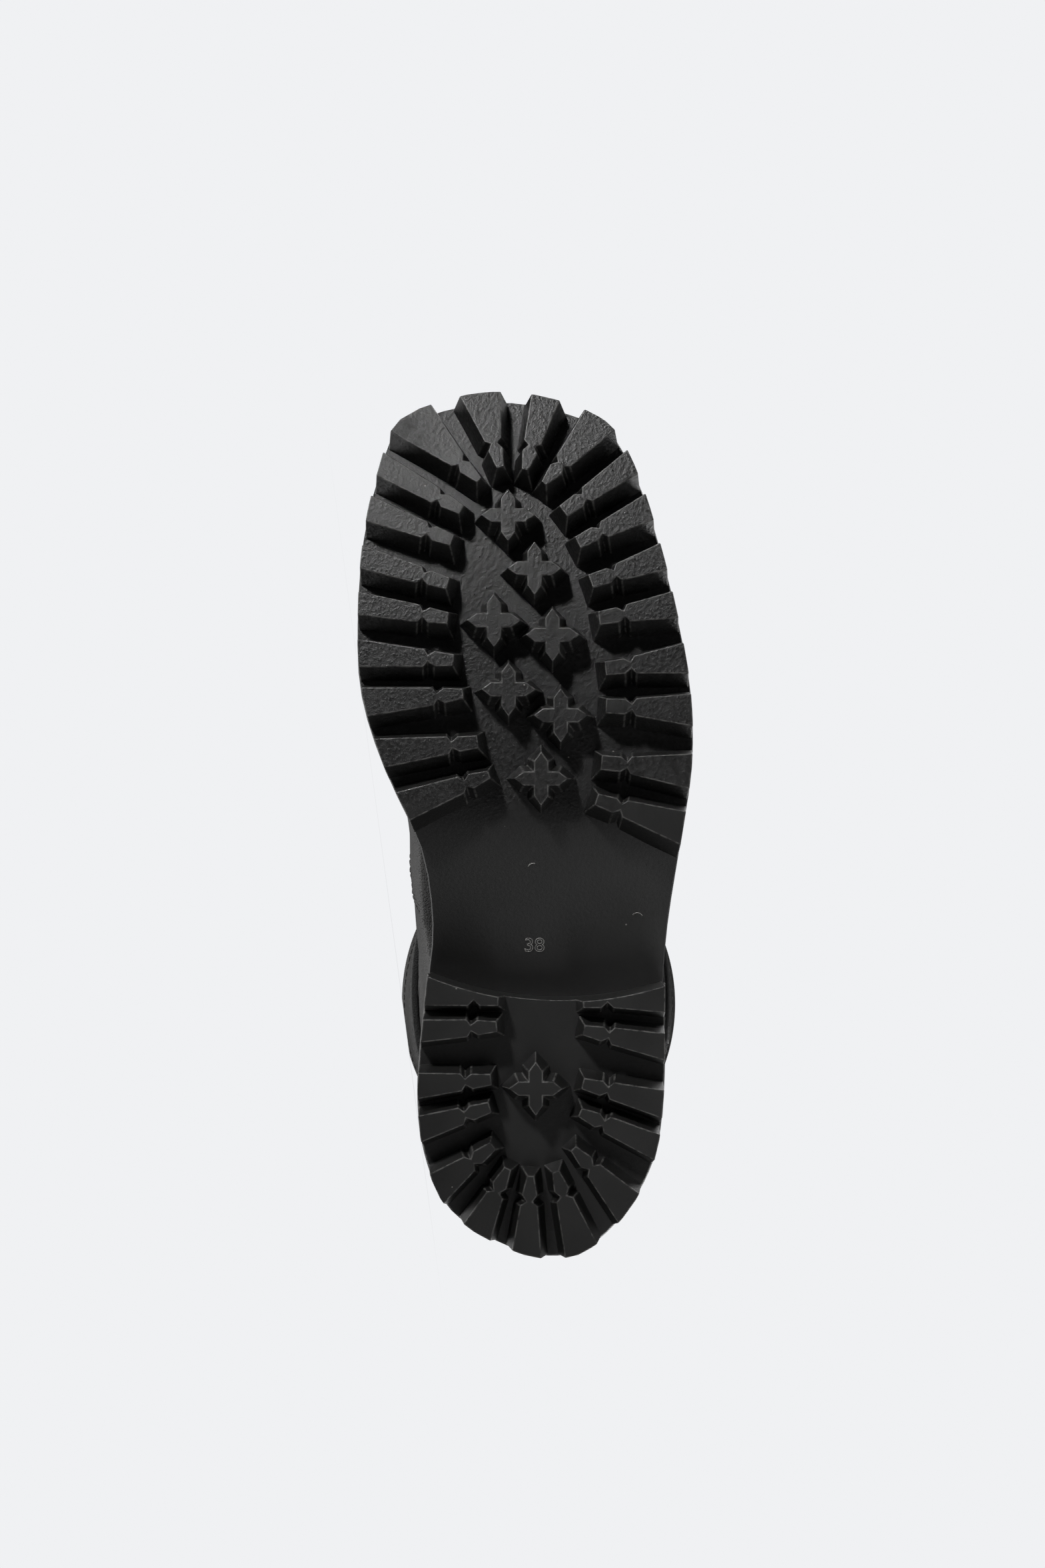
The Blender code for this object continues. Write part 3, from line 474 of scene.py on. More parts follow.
def round_off(builder, edges, radius, sharpest=22.0, segments=2):
    """Rounds the corners among these edges and marks what it makes for wear and a painted highlight."""
    worn_and_lit_edge = builder.faces.layers.float["worn_and_lit_edge"]
    corners = [edge for edge in edges
               if edge.is_manifold and edge.calc_face_angle() > math.radians(sharpest)]
    made = bmesh.ops.bevel(builder, geom=corners, offset=radius, offset_type="OFFSET", segments=segments,
                           profile=0.5, affect="EDGES", clamp_overlap=True, material=-1)
    for face in made["faces"]:
        face[worn_and_lit_edge] = 1.0


# ---------------------------------------------------------------- sole

CORNER_RADIUS = 0.42
BLOCK_RADIUS = 0.3
CROWN_FLAT = 14.0
CROWN_REACH = 40.0
CROWN_RISE = 1.0
RIM_STEPS = 5
HEEL_STEPS = 56
BREAST_STEPS = 30
BREAST_LUG_STEPS = 8
BEND_START = 84.0
BEND_STEP = 4.0
BEND_NEAR = 0.02
OVERRUN = 12.0
HALF_SOLE = 60.0


def rim_at(rim, place):
    """A point on a closed outline, by its place in the list and the share to the next."""
    index = math.floor(place)
    return rim[index % len(rim)].lerp(rim[(index + 1) % len(rim)], place - index)


def between(rim, start, end, count):
    """Points along an outline from one place to another, the short way round."""
    span = (end - start + len(rim) / 2) % len(rim) - len(rim) / 2
    return [rim_at(rim, start + span * step / count) for step in range(count + 1)]


def crossing(rim, near, far):
    """The place on an outline where a straight line leaves it."""
    found = None
    for index, point in enumerate(rim):
        after = rim[(index + 1) % len(rim)]
        meet = geometry.intersect_line_line_2d(near, far, point, after)
        if meet is not None:
            found = index + (meet - point).length / (after - point).length
    return found


def breast_crossings(rim):
    """The places where the heel's breast meets the medial and the lateral rim."""
    found = {}
    for index, point in enumerate(rim):
        after = rim[(index + 1) % len(rim)]
        gap, gap_after = (p.x - breast_u(p.y) for p in (point, after))
        if gap * gap_after < 0.0 and abs(point.y) < HALF_SOLE:
            found[point.y > 0.0] = index + gap / (gap - gap_after)
    return found[False], found[True]


def breast_line(start, end, count):
    """Points along the heel's hollow front, from one v to another."""
    across = (start + (end - start) * step / count for step in range(count + 1))
    return [Vector((breast_u(v), v)) for v in across]


def lug_outline(rim, bar, grow):
    """Plan of one notched bar, from its tip out to the rim."""
    outer_u, outer_v, tip_u, tip_v, outer_width, tip_width = bar
    tip = Vector((tip_u, tip_v))
    along = Vector((outer_u, outer_v)) - tip
    length = along.length
    along.normalize()
    across = Vector((-along.y, along.x))
    flare = (outer_width / 2 - NOTCH_START[1]) / (length - NOTCH_START[0])
    turns = ((-grow, tip_width / 2), NOTCH_SHOULDER, NOTCH_NECK, NOTCH_START)
    beyond = tip + along * (length + OVERRUN)
    outer_half = outer_width / 2 + flare * OVERRUN + grow
    sides = []
    ends = []
    for side in (1.0, -1.0):
        sides.append([tip + along * far + across * side * (half + grow) for far, half in turns])
        ends.append(crossing(rim, sides[-1][-1], beyond + across * side * outer_half))
    return sides[0] + between(rim, *ends, RIM_STEPS) + sides[1][::-1]


def stud_outline(centre, grow):
    """Plan of one cross stud with four pointed arms."""
    half = STUD_HALF_WIDTH + grow
    shoulder = STUD_SHOULDER + grow * STUD_SHOULDER_DRAFT
    tip = STUD_REACH + grow * STUD_TIP_DRAFT
    arm = ((half, half), (shoulder, half), (tip, 0.0), (shoulder, -half))
    points = []
    for quarter in range(4):
        turn = Matrix.Rotation(-quarter * math.pi / 2, 2)
        points += [Vector(centre) + turn @ Vector(point) for point in arm]
    return points


def breast_outline(rim, side, inner, inner_edge, rim_edge, grow):
    """Plan of a notched bar along the breast, from its inner end out to the rim and back."""
    low = inner_edge - grow
    turns = ((inner - grow, low), (BREAST_NOTCH - BREAST_NOTCH_HALF, low),
             (BREAST_NOTCH, low + BREAST_NOTCH_DEEP), (BREAST_NOTCH + BREAST_NOTCH_HALF, low))
    points = [Vector((u, side * v)) for v, u in turns]
    corner = breast_crossings(rim)[side > 0]
    leave = crossing(rim, points[-1], Vector((rim_edge - grow, side * HALF_SOLE)))
    edge = between(rim, leave, corner, RIM_STEPS)
    return points + edge + breast_line(edge[-1].y, side * (inner - grow), BREAST_LUG_STEPS)[1:]


def crown(v):
    """How much the walking face rises towards the rim, across the sole."""
    return CROWN_RISE * max((abs(v) - CROWN_FLAT) / CROWN_REACH, 0.0) ** 2


def add_lug(builder, outline_of, face_height, draft=LUG_DRAFT, lean=0.0):
    """A drafted block from its walking face down into the plate, with moulded corners."""
    depth = LUG_DEPTH + LUG_SINK
    face = [(p.x, p.y, face_height(p.x) + crown(p.y)) for p in outline_of(0.0)]
    base = [(leaned(p.x, depth) - lean * depth, p.y, face_height(p.x) + depth)
            for p in outline_of(draft)]
    block, walked = stacked(builder, (face, base))
    walked[builder.faces.layers.float["tread"]] = 1.0
    round_off(builder, edges_of(builder, block), CORNER_RADIUS)


def add_lugs(builder, lugs, studs, face_height, draft=LUG_DRAFT, lean=0.0):
    """The bars of a tread and the cross studs between them."""
    rim = sole_plan(LUG_INSET)
    for _, *bar in lugs:
        add_lug(builder, lambda grow: lug_outline(rim, bar, grow), face_height, draft, lean)
    for centre in studs:
        add_lug(builder, lambda grow: stud_outline(centre, grow), face_height)


def bend(builder, verts, base):
    """Cuts a flat layer across and bends it to the curve of the sole."""
    geom = verts + edges_of(builder, verts) + faces_of(builder, verts)
    for cut in np.arange(BEND_START, SOLE_LENGTH, BEND_STEP):
        geom = bmesh.ops.bisect_plane(builder, geom=geom, dist=BEND_NEAR, plane_co=(cut, 0, 0),
                                      plane_no=(1, 0, 0))["geom"]
    for vert in geom:
        if isinstance(vert, bmesh.types.BMVert):
            vert.co.z += base(vert.co.x)


def plan_layer(edge_rows, thickness, base, rise):
    """A sheet with the sole's plan and stepped edges, bent to its base.

    Its walls lean with the toe, from this rise above the tread."""
    builder = new_builder()
    rows = []
    for share, stand in edge_rows:
        height = share * thickness
        rows.append([(leaned(p.x, rise + height), p.y, height) for p in sole_plan(-stand)])
    verts, _ = stacked(builder, rows)
    bend(builder, verts, base)
    return builder


def build_outsole(material):
    builder = plan_layer(PLATE_EDGE, PLATE_THICKNESS, floor_height, LUG_DEPTH)
    add_lugs(builder, FOREFOOT_LUGS, FOREFOOT_STUDS, tread_height, FOREFOOT_DRAFT, FOREFOOT_LEAN)
    weigh_normals(finished(builder, "outsole_rubber", material, "sole_rubber", "outsole"))


def build_heel(material):
    """The heel block under the seat, with a hollow breast and its own lugs."""
    builder = new_builder()
    rows = []
    for share, stand in HEEL_EDGE:
        rim = sole_plan(-stand)
        medial, lateral = breast_crossings(rim)
        round_heel = between(rim, lateral, medial, HEEL_STEPS)
        front = breast_line(round_heel[-1].y, round_heel[0].y, BREAST_STEPS)[1:-1]
        rows.append([(p.x, p.y, LUG_DEPTH + share * (floor_height(p.x) - SEAT_GAP - LUG_DEPTH))
                     for p in round_heel + front])
    block, _ = stacked(builder, rows)
    round_off(builder, edges_of(builder, block), BLOCK_RADIUS, sharpest=40.0)
    add_lugs(builder, HEEL_LUGS, HEEL_STUDS, lambda u: 0.0)
    rim = sole_plan(LUG_INSET)
    for _, side, inner, inner_edge, rim_edge in BREAST_LUGS:
        add_lug(builder, lambda grow: breast_outline(rim, side, inner, inner_edge, rim_edge, grow),
                lambda u: 0.0)
    weigh_normals(finished(builder, "heel_rubber", material, "sole_rubber", "heel"))


def build_midsole(material):
    rise = LUG_DEPTH + PLATE_THICKNESS + SEAT_GAP
    builder = plan_layer(MIDSOLE_EDGE, MIDSOLE_THICKNESS, midsole_base, rise)
    weigh_normals(finished(builder, "midsole_rubber", material, "midsole_rubber", "midsole"))


# ---------------------------------------------------------------- the last

SECTION_ROWS = np.array([row[1:] for row in UPPER_SECTIONS])
LEVEL_NUDGE = 0.05
ANGLE_NUDGE = 0.03
FULL_TURN = 2.0 * math.pi


class PlanShape:
    """The sole's outline as two sides that can be read at any share of its length."""

    def __init__(self):
        curve = sole_plan(0.0, 8)
        half = len(curve) // 2
        ring = curve[-4:] + curve[:-4]
        self.medial = self.side(ring[:half + 1])
        self.lateral = self.side((ring[half:] + ring[:1])[::-1])

    @staticmethod
    def side(points):
        low = min(point.x for point in points)
        high = max(point.x for point in points)
        shares, edges = [], []
        for point in points:
            share = (point.x - low) / (high - low)
            if not shares or share > shares[-1]:
                shares.append(share)
                edges.append(point.y)
        return shares, np.array(edges) / max(abs(edge) for edge in edges)

    def read(self, medial, share):
        return np.where(medial, np.interp(share, *self.medial), np.interp(share, *self.lateral))


PLAN = PlanShape()
LENGTHS = np.linspace(0.0, SOLE_LENGTH, 400)
FEATHER_LINE = np.array([feather_height(u) for u in LENGTHS])


def feather_line(u):
    return np.interp(u, LENGTHS, FEATHER_LINE)


def sections_at(levels):
    """The numbers of the sections at these levels, between the table's rows."""
    index = np.clip(np.floor(levels).astype(int), 0, TOP_LEVEL - 1)
    rows = [SECTION_ROWS[np.clip(index + shift, 0, TOP_LEVEL)] for shift in (-1, 0, 1, 2)]
    return catmull_rom(*rows, (levels - index)[:, None]).T


def upper_points(levels, angles):
    """Points on the outside of the upper. Angle 0 is the back, a quarter turn is medial."""
    back_u, back_w, front_u, front_w, medial, lateral, foot, arch, cling = sections_at(levels)
    share = (1.0 - np.cos(angles)) / 2.0
    on_medial = np.sin(angles) >= 0.0
    width = np.where(on_medial, medial, lateral)
    u = back_u + share * (front_u - back_u)
    egg = TOE_AXIS * (u / SOLE_LENGTH) ** 3 - width * np.sin(angles)
    sole_side = width * PLAN.read(on_medial, share)
    held = arch * width * np.sin(angles)
    near = np.maximum(ARCH_BLEND - np.abs(-sole_side - held), 0.0) / ARCH_BLEND
    filled = -(np.maximum(-sole_side, held) + near * near * ARCH_BLEND / 4.0)
    sole_side = np.where(on_medial, filled, sole_side)
    v = foot * sole_side + (1.0 - foot) * egg
    back_line, front_line = feather_line(back_u), feather_line(front_u)
    sole_line = back_line + share * (front_line - back_line)
    w = back_w + share * (front_w - back_w) + cling * (feather_line(u) - sole_line)
    return np.stack((u, v, w), axis=1)


def upper_normals(levels, angles):
    """Outward directions of the upper's surface."""
    rise = (upper_points(np.minimum(levels + LEVEL_NUDGE, TOP_LEVEL), angles)
            - upper_points(np.maximum(levels - LEVEL_NUDGE, 0.0), angles))
    turn = upper_points(levels, angles + ANGLE_NUDGE) - upper_points(levels, angles - ANGLE_NUDGE)
    out = np.cross(turn, rise)
    return out / np.linalg.norm(out, axis=1)[:, None]


def beside(points, start, end):
    """Distance of each point from a straight piece, and its share of the way along it."""
    way = end - start
    share = np.clip(((points - start) @ way) / max(way @ way, 1e-9), 0.0, 1.0)
    return np.linalg.norm(points - start - share[:, None] * way, axis=1), share


def path_lengths(points):
    """How far along a path each of its points lies."""
    return np.concatenate(([0.0], np.cumsum(np.linalg.norm(np.diff(points, axis=0), axis=1))))


def distance_to_path(points, path):
    """Distance of each point from a chain of straight pieces, and how far along it lies."""
    best = np.full(len(points), np.inf)
    along = np.zeros(len(points))
    for index, (start, end) in enumerate(zip(path, path[1:])):
        far, share = beside(points, start, end)
        nearer = far < best
        best = np.where(nearer, far, best)
        along = np.where(nearer, (index + share) / (len(path) - 1), along)
    return best, along


# ---------------------------------------------------------------- panels, seams and creases

# Seams as seen from the side: u, w along the upper edge of each overlay.
VAMP_SEAM = ((104.0, 34.0), (112.0, 52.0), (124.0, 70.0), (140.0, 86.0), (160.0, 98.5), (182.0, 106.0))
COUNTER_SEAM = ((96.0, 34.0), (90.0, 54.0), (72.0, 74.0), (44.0, 90.0), (16.0, 97.0), (-4.0, 98.0))
BACK_STRIP_HALF = 11.0
BACK_STRIP_REACH = 60.0
OVERLAY_STEP = 0.9
OVERLAY_SLOPE = 0.45
STRIP_STEP = 1.15
NO_SEAM = 40.0
PATH_STEPS = 8
LADDER_STEPS = 400
BAND_SLOPE = 0.05

# A crease has a low ridge beside its trough: distance in widths, and share of the depth. Relief
# begins above the feather edge and ends below the collar, within these levels.
RIDGE_AT = 1.9
RIDGE_SHARE = 0.45
RELIEF_START = 0.4
RELIEF_GROWS = 1.6
RELIEF_ENDS = 1.2

# Creases of the worn leather: level and angle (degrees) at the start, the middle and the end,
# then the width and the depth of the trough.
CREASES = (
    ("ball_1", 5.6, 128, 6.6, 180, 5.4, 228, 3.6, 1.1),
    ("ball_2", 5.2, 136, 6.2, 182, 5.0, 222, 3.0, 0.8),
    ("ball_3", 6.3, 124, 7.3, 178, 6.1, 236, 4.0, 1.2),
    ("ball_4", 4.2, 142, 5.6, 176, 4.6, 210, 2.6, 0.5),
    ("instep_1", 7.4, 116, 8.3, 180, 7.2, 244, 4.4, 1.3),
    ("instep_2", 8.2, 120, 8.9, 180, 8.0, 240, 3.8, 0.9),
    ("ankle_front_1", 9.2, 118, 9.7, 180, 9.2, 242, 5.0, 1.6),
    ("ankle_front_2", 10.7, 112, 11.25, 180, 10.8, 246, 5.4, 1.5),
    ("ankle_medial_1", 9.3, 52, 9.0, 84, 9.5, 118, 4.6, 1.1),
    ("ankle_medial_2", 10.9, 40, 11.3, 76, 11.0, 112, 5.0, 1.3),
    ("ankle_lateral_1", 9.2, 306, 8.9, 276, 9.4, 244, 4.6, 1.1),
    ("ankle_lateral_2", 11.0, 318, 11.4, 284, 11.1, 250, 5.2, 1.2),
    ("ankle_back_1", 11.2, -34, 11.6, 2, 11.3, 36, 5.2, 1.4),
    ("ankle_back_2", 12.0, -26, 12.25, 8, 12.0, 34, 5.6, 1.0),
    ("shaft_medial", 12.3, 66, 12.9, 100, 12.5, 138, 6.4, 1.2),
    ("shaft_lateral", 12.4, 292, 12.8, 262, 12.3, 226, 6.4, 1.2),
    ("shaft_front", 13.1, 150, 13.6, 184, 13.2, 214, 7.0, 1.0),
)
# Broad soft swells and hollows: level and angle at the middle, reach and height.
SWELLS = (
    ("ankle_bone_medial", 9.9, 62, 20.0, 1.4),
    ("ankle_bone_lateral", 9.7, 296, 20.0, 1.5),
    ("heel_hollow_medial", 8.2, 38, 18.0, -1.0),
    ("heel_hollow_lateral", 8.2, 322, 18.0, -1.0),
    ("shaft_dip_front", 12.4, 176, 26.0, -1.3),
    ("shaft_dip_medial", 13.3, 84, 30.0, -1.4),
    ("shaft_dip_lateral", 13.4, 270, 30.0, -1.3),
    ("shaft_bulge_back", 12.9, 8, 26.0, 1.0),
    ("little_toe", 2.6, 222, 22.0, 1.1),
    ("big_toe", 3.6, 158, 20.0, 0.9),
)


def path_on_upper(stops):
    """A smooth line on the upper through its levels and angles."""
    stops = [stops[0]] + list(stops) + [stops[-1]]
    levels, angles = [], []
    for index in range(1, len(stops) - 2):
        for step in range(PATH_STEPS):
            four = [np.array(stops[index + shift]) for shift in (-1, 0, 1, 2)]
            level, angle = catmull_rom(*four, step / PATH_STEPS)
            levels.append(level)
            angles.append(angle)
    levels.append(stops[-1][0])
    angles.append(stops[-1][1])
    return upper_points(np.array(levels, float), np.radians(np.array(angles, float)))


def side_distance(points, seam):
    """Distance from a seam seen from the side, positive to its left as it runs."""
    flat = points[:, [0, 2]]
    path = np.array(seam)
    nearest = np.full(len(flat), np.inf)
    side = np.ones(len(flat))
    for start, end in zip(path, path[1:]):
        far, _ = beside(flat, start, end)
        way = end - start
        away = flat - start
        turn = way[0] * away[:, 1] - way[1] * away[:, 0]
        nearer = far < nearest - 1e-6
        nearest = np.where(nearer, far, nearest)
        side = np.where(nearer, np.sign(turn), side)
    return nearest * side


def panel_distances(points):
    """How far each point lies inside the vamp, the counter and the back strip."""
    vamp = -side_distance(points, VAMP_SEAM)
    counter = side_distance(points, COUNTER_SEAM)
    strip = np.where(points[:, 0] < BACK_STRIP_REACH, BACK_STRIP_HALF - np.abs(points[:, 1]), -NO_SEAM)
    return vamp, counter, strip


def leather_relief(levels, angles, points):
    """How far the worn leather stands out of its smooth shape, and where it is creased."""
    relief = np.zeros(len(points))
    creased = np.zeros(len(points))
    for _, *places, width, depth in CREASES:
        stops = list(zip(places[::2], places[1::2]))
        far, along = distance_to_path(points, path_on_upper(stops))
        fade = np.sqrt(np.clip(np.sin(np.pi * along), 0.0, 1.0))
        trough = np.exp(-(far / width) ** 2)
        ridge = np.exp(-((far - RIDGE_AT * width) / width) ** 2)
        relief += depth * fade * (RIDGE_SHARE * ridge - trough)
        creased = np.maximum(creased, fade * trough)
    for _, level, angle, reach, height in SWELLS:
        middle = upper_points(np.array([float(level)]), np.radians([float(angle)]))
        far = np.linalg.norm(points - middle, axis=1)
        relief += height * np.exp(-(far / reach) ** 2)
    free = (soft_step((levels - RELIEF_START) / RELIEF_GROWS)
            * soft_step((TOP_LEVEL - levels) / RELIEF_ENDS))
    return relief * free, creased * free


def overlay_relief(points, levels):
    """Steps of the vamp, counter, back strip and collar band, and the distance to their seams."""
    vamp, counter, strip = panel_distances(points)
    on_vamp, on_counter, on_strip = (soft_step(inside / OVERLAY_SLOPE + 0.5)
                                     for inside in (vamp, counter, strip))
    raised = np.maximum(on_vamp, on_counter) * OVERLAY_STEP
    raised = np.maximum(raised, on_strip * OVERLAY_STEP * STRIP_STEP)
    band = soft_step((levels - BAND_LEVEL) / BAND_SLOPE + 0.5)
    edge = np.minimum(np.minimum(np.abs(vamp), np.abs(counter)), np.abs(strip))
    edge = np.where((strip > 1.0), np.abs(strip), edge)
    return raised * (1.0 - band) + band * COLLAR_BAND_STEP, edge


def band_start_level():
    """The level at which the collar band begins, measured down the back seam."""
    levels = np.linspace(TOP_LEVEL - 2.0, TOP_LEVEL, LADDER_STEPS)
    points = upper_points(levels, np.zeros(LADDER_STEPS))
    gaps = np.linalg.norm(points - points[-1], axis=1)
    return float(levels[np.argmax(gaps < COLLAR_BAND)])


BAND_LEVEL = band_start_level()

# Rows of the upper's wall: up the lining, over the collar's rim and down the outside.
LINING_ROWS = 46
OUTSIDE_ROWS = 230
AROUND = 256
RIM_START = TOP_LEVEL - 0.03
RIM_TURN = TOP_LEVEL - 0.008
RIM_SHARES = (0.86, 0.5, 0.14)
MERGE_NEAR = 0.002


def wall_rows():
    """Level and depth under the outer surface for each row of the wall."""
    lining = [(level, UPPER_WALL) for level in np.linspace(0.0, RIM_START, LINING_ROWS)]
    inner, middle, outer = (UPPER_WALL * share for share in RIM_SHARES)
    rim = [(RIM_TURN, inner), (TOP_LEVEL, middle), (RIM_TURN, outer - COLLAR_BAND_STEP)]
    outside = [(level, 0.0) for level in RIM_START * (1.0 - np.linspace(0.0, 1.0, OUTSIDE_ROWS))]
    return np.array(lining + rim + outside)


def mapped_grid(row_count, columns, closed):
    """A sheet with the row of each point, closed to a tube, and its share across the columns."""
    builder = bmesh.new()
    bmesh.ops.create_grid(builder, x_segments=row_count, y_segments=columns, size=0.5, calc_uvs=True)
    mesh = bpy.data.meshes.new("sheet")
    builder.to_mesh(mesh)
    builder.free()
    flat = np.empty(len(mesh.vertices) * 3)
    mesh.vertices.foreach_get("co", flat)
    flat = flat.reshape(-1, 3)
    rows = np.rint((flat[:, 0] + 0.5) * row_count).astype(int) % row_count
    shares = flat[:, 1] + 0.5
    return mesh, rows, shares % 1.0 if closed else shares


def placed(mesh, points, **marks):
    """The sheet with its points in place and its marks as attributes, as a builder."""
    mesh.vertices.foreach_set("co", np.asarray(points).ravel())
    for mark, values in marks.items():
        attribute = mesh.attributes.new(mark, "FLOAT", "POINT")
        attribute.data.foreach_set("value", np.asarray(values, dtype=np.float32))
    builder = bmesh.new()
    builder.from_mesh(mesh)
    bpy.data.meshes.remove(mesh)
    bmesh.ops.remove_doubles(builder, verts=builder.verts, dist=MERGE_NEAR)
    bmesh.ops.recalc_face_normals(builder, faces=builder.faces)
    return builder


def build_upper(material):
    """One hollow wall, with its panels, seams and creases."""
    rows = wall_rows()
    mesh, row, turn = mapped_grid(len(rows), AROUND, True)
    levels, depths = rows[row].T
    angles = turn * FULL_TURN
    smooth = upper_points(levels, angles)
    normals = upper_normals(levels, angles)
    creases, creased = leather_relief(levels, angles, smooth)
    steps, edge = overlay_relief(smooth, levels)
    outside = row > LINING_ROWS + 1
    stand = creases - depths + np.where(outside, steps, 0.0)
    points = smooth + normals * stand[:, None]
    builder = placed(mesh, points, creased=creased, lining=(~outside).astype(float),
                     seam=np.where(outside, edge, NO_SEAM))
    finished(builder, "upper_leather", material, "upper_leather", "upper")


# ---------------------------------------------------------------- ankle strap

TURN_STEPS = 360
CLIMB_STEPS = 220
CLIMB_REACH = 2.2


class StrapPath:
    """Points beside the upper, by angle round the leg, distance up the wall and stand-off."""

    def __init__(self):
        around = np.linspace(0.0, FULL_TURN, TURN_STEPS + 1)
        self.levels = np.linspace(STRAP_LEVEL - CLIMB_REACH, STRAP_LEVEL + CLIMB_REACH, CLIMB_STEPS + 1)
        grid_levels, grid_angles = np.meshgrid(self.levels, around)
        walls = upper_points(grid_levels.ravel(), grid_angles.ravel())
        heights = np.array([path_lengths(wall) for wall in walls.reshape(TURN_STEPS + 1, -1, 3)])
        middle = CLIMB_STEPS // 2
        self.heights = heights - heights[:, middle:middle + 1]
        fine = np.linspace(BUCKLE_ANGLE - FULL_TURN, BUCKLE_ANGLE + FULL_TURN, 4 * TURN_STEPS + 1)
        lengths = path_lengths(upper_points(np.full(len(fine), STRAP_LEVEL), fine))
        self.turn_angles = fine[::-1]
        self.turn_lengths = (lengths[2 * TURN_STEPS] - lengths)[::-1]

    def levels_at(self, angles, ups):
        """The levels that lie given distances up the wall from the strap's middle."""
        place = (np.asarray(angles) % FULL_TURN) / FULL_TURN * TURN_STEPS
        index = np.clip(place.astype(int), 0, TURN_STEPS - 1)
        share = place - index
        low = np.array([np.interp(up, self.heights[i], self.levels) for up, i in zip(ups, index)])
        high = np.array([np.interp(up, self.heights[i + 1], self.levels) for up, i in zip(ups, index)])
        return low + (high - low) * share

    def points(self, angles, ups, stands):
        levels = self.levels_at(angles, ups)
        return upper_points(levels, angles) + upper_normals(levels, angles) * np.asarray(stands)[:, None]

    def angles_at(self, distances):
        """The angles that lie given distances forward along the strap from the buckle."""
        return np.interp(distances, self.turn_lengths, self.turn_angles)

    def square(self, distances, ups, stands):
        """Points at distances from the buckle, square to the strap."""
        ups = np.asarray(ups, float)
        return self.points(self.angles_at(np.asarray(distances) + ups * WALL_LEAN), ups, stands)


PATH = StrapPath()
STRAP_AROUND = 300
HOLE_FIRST = -40.0
HOLE_STEP = -7.0
HOLE_COUNT = 4
HOLE_RADIUS = 1.6
HOLE_SOFTNESS = 0.5
HOLE_DEPTH = 1.2
GROOVE_AT = 0.82
TAIL_GROOVE_AT = 0.83
EDGE_FROM = 0.78
EDGE_SHARPNESS = 14.0

# Half cross sections of the strap and of its free end, from the middle of the inner face to the
# middle of the outer one: share of the half width, height over the inner face. Each is a band
# with soft edges and a pressed groove inside each edge.
STRAP_INNER = ((0.2, 0.0), (0.6, 0.0), (0.96, 0.0))
STRAP_OUTER = (
    (1.0, 0.35), (1.0, 1.1), (1.0, 1.9), (0.985, 2.35), (0.95, 2.62), (0.9, 2.72), (0.86, 2.70),
    (0.835, 2.5), (0.81, 2.5), (0.785, 2.74), (0.74, 2.8), (0.5, 2.8), (0.25, 2.8),
)
TAIL_INNER = ((0.3, 0.0), (0.96, 0.0))
TAIL_OUTER = (
    (1.0, 0.4), (1.0, 1.6), (0.98, 2.0), (0.94, 2.3), (0.89, 2.35), (0.85, 2.1), (0.82, 2.1),
    (0.78, 2.4), (0.7, 2.5), (0.55, 2.5), (0.4, 2.5), (0.3, 2.5), (0.2, 2.5), (0.1, 2.5),
)


def whole_section(inner, outer):
    """The closed section of a band, from the half of it on one side."""
    inner, outer = np.array(inner), np.array(outer)
    other_side = (-1.0, 1.0)
    return np.concatenate((inner[::-1] * other_side, inner, outer, [(0.0, outer[-1, 1])],
                           outer[::-1] * other_side))


def edge_mark(rim):
    """How near the raw edge a place in the section is: 0 inside the groove, 1 at the edge."""
    return np.clip((rim - EDGE_FROM) * EDGE_SHARPNESS, 0.0, 1.0)


def build_strap(material):
    """The strap round the ankle."""
    section = whole_section(STRAP_INNER, STRAP_OUTER)
    mesh, row, turn = mapped_grid(len(section), STRAP_AROUND, True)
    shares, heights = section[row].T
    points = PATH.points(turn * FULL_TURN, shares * STRAP_WIDTH / 2, STRAP_GAP + heights)
    rim = np.abs(shares)
    builder = placed(mesh, points, seam=np.abs(rim - GROOVE_AT) * STRAP_WIDTH / 2, edge=edge_mark(rim))
    finished(builder, "ankle_strap_leather", material, "strap_leather", "ankle_strap")


# Rows of the free end: distance along the strap from the buckle's middle, stand-off of its
# underside from the upper and share of its width. It lies pressed into the strap, and rises
# over the buckle's bar.
TAIL_PRESS = 0.9
BAR_CLEARANCE = 2.6
ON_STRAP = STRAP_GAP + STRAP_THICKNESS - TAIL_PRESS
OVER_BAR = BUCKLE_LIFT + BUCKLE_WIRE + BAR_CLEARANCE
TAIL_ROWS = (
    (5.0, ON_STRAP, 0.9), (0.0, ON_STRAP + 0.5, 1.0), (-7.0, OVER_BAR - 0.9, 1.0),
    (-10.5, OVER_BAR, 1.0), (-15.5, OVER_BAR, 1.0), (-19.2, OVER_BAR - 1.4, 1.0),
    (-24.0, ON_STRAP, 1.0), (-34.0, ON_STRAP, 1.0), (-44.0, ON_STRAP, 1.0),
    (-55.0, ON_STRAP, 1.0), (-65.0, ON_STRAP, 0.9), (-70.0, ON_STRAP, 0.55), (-71.5, ON_STRAP, 0.2),
)
TAIL_STEPS = 150
TAIL_FACE = 2.2


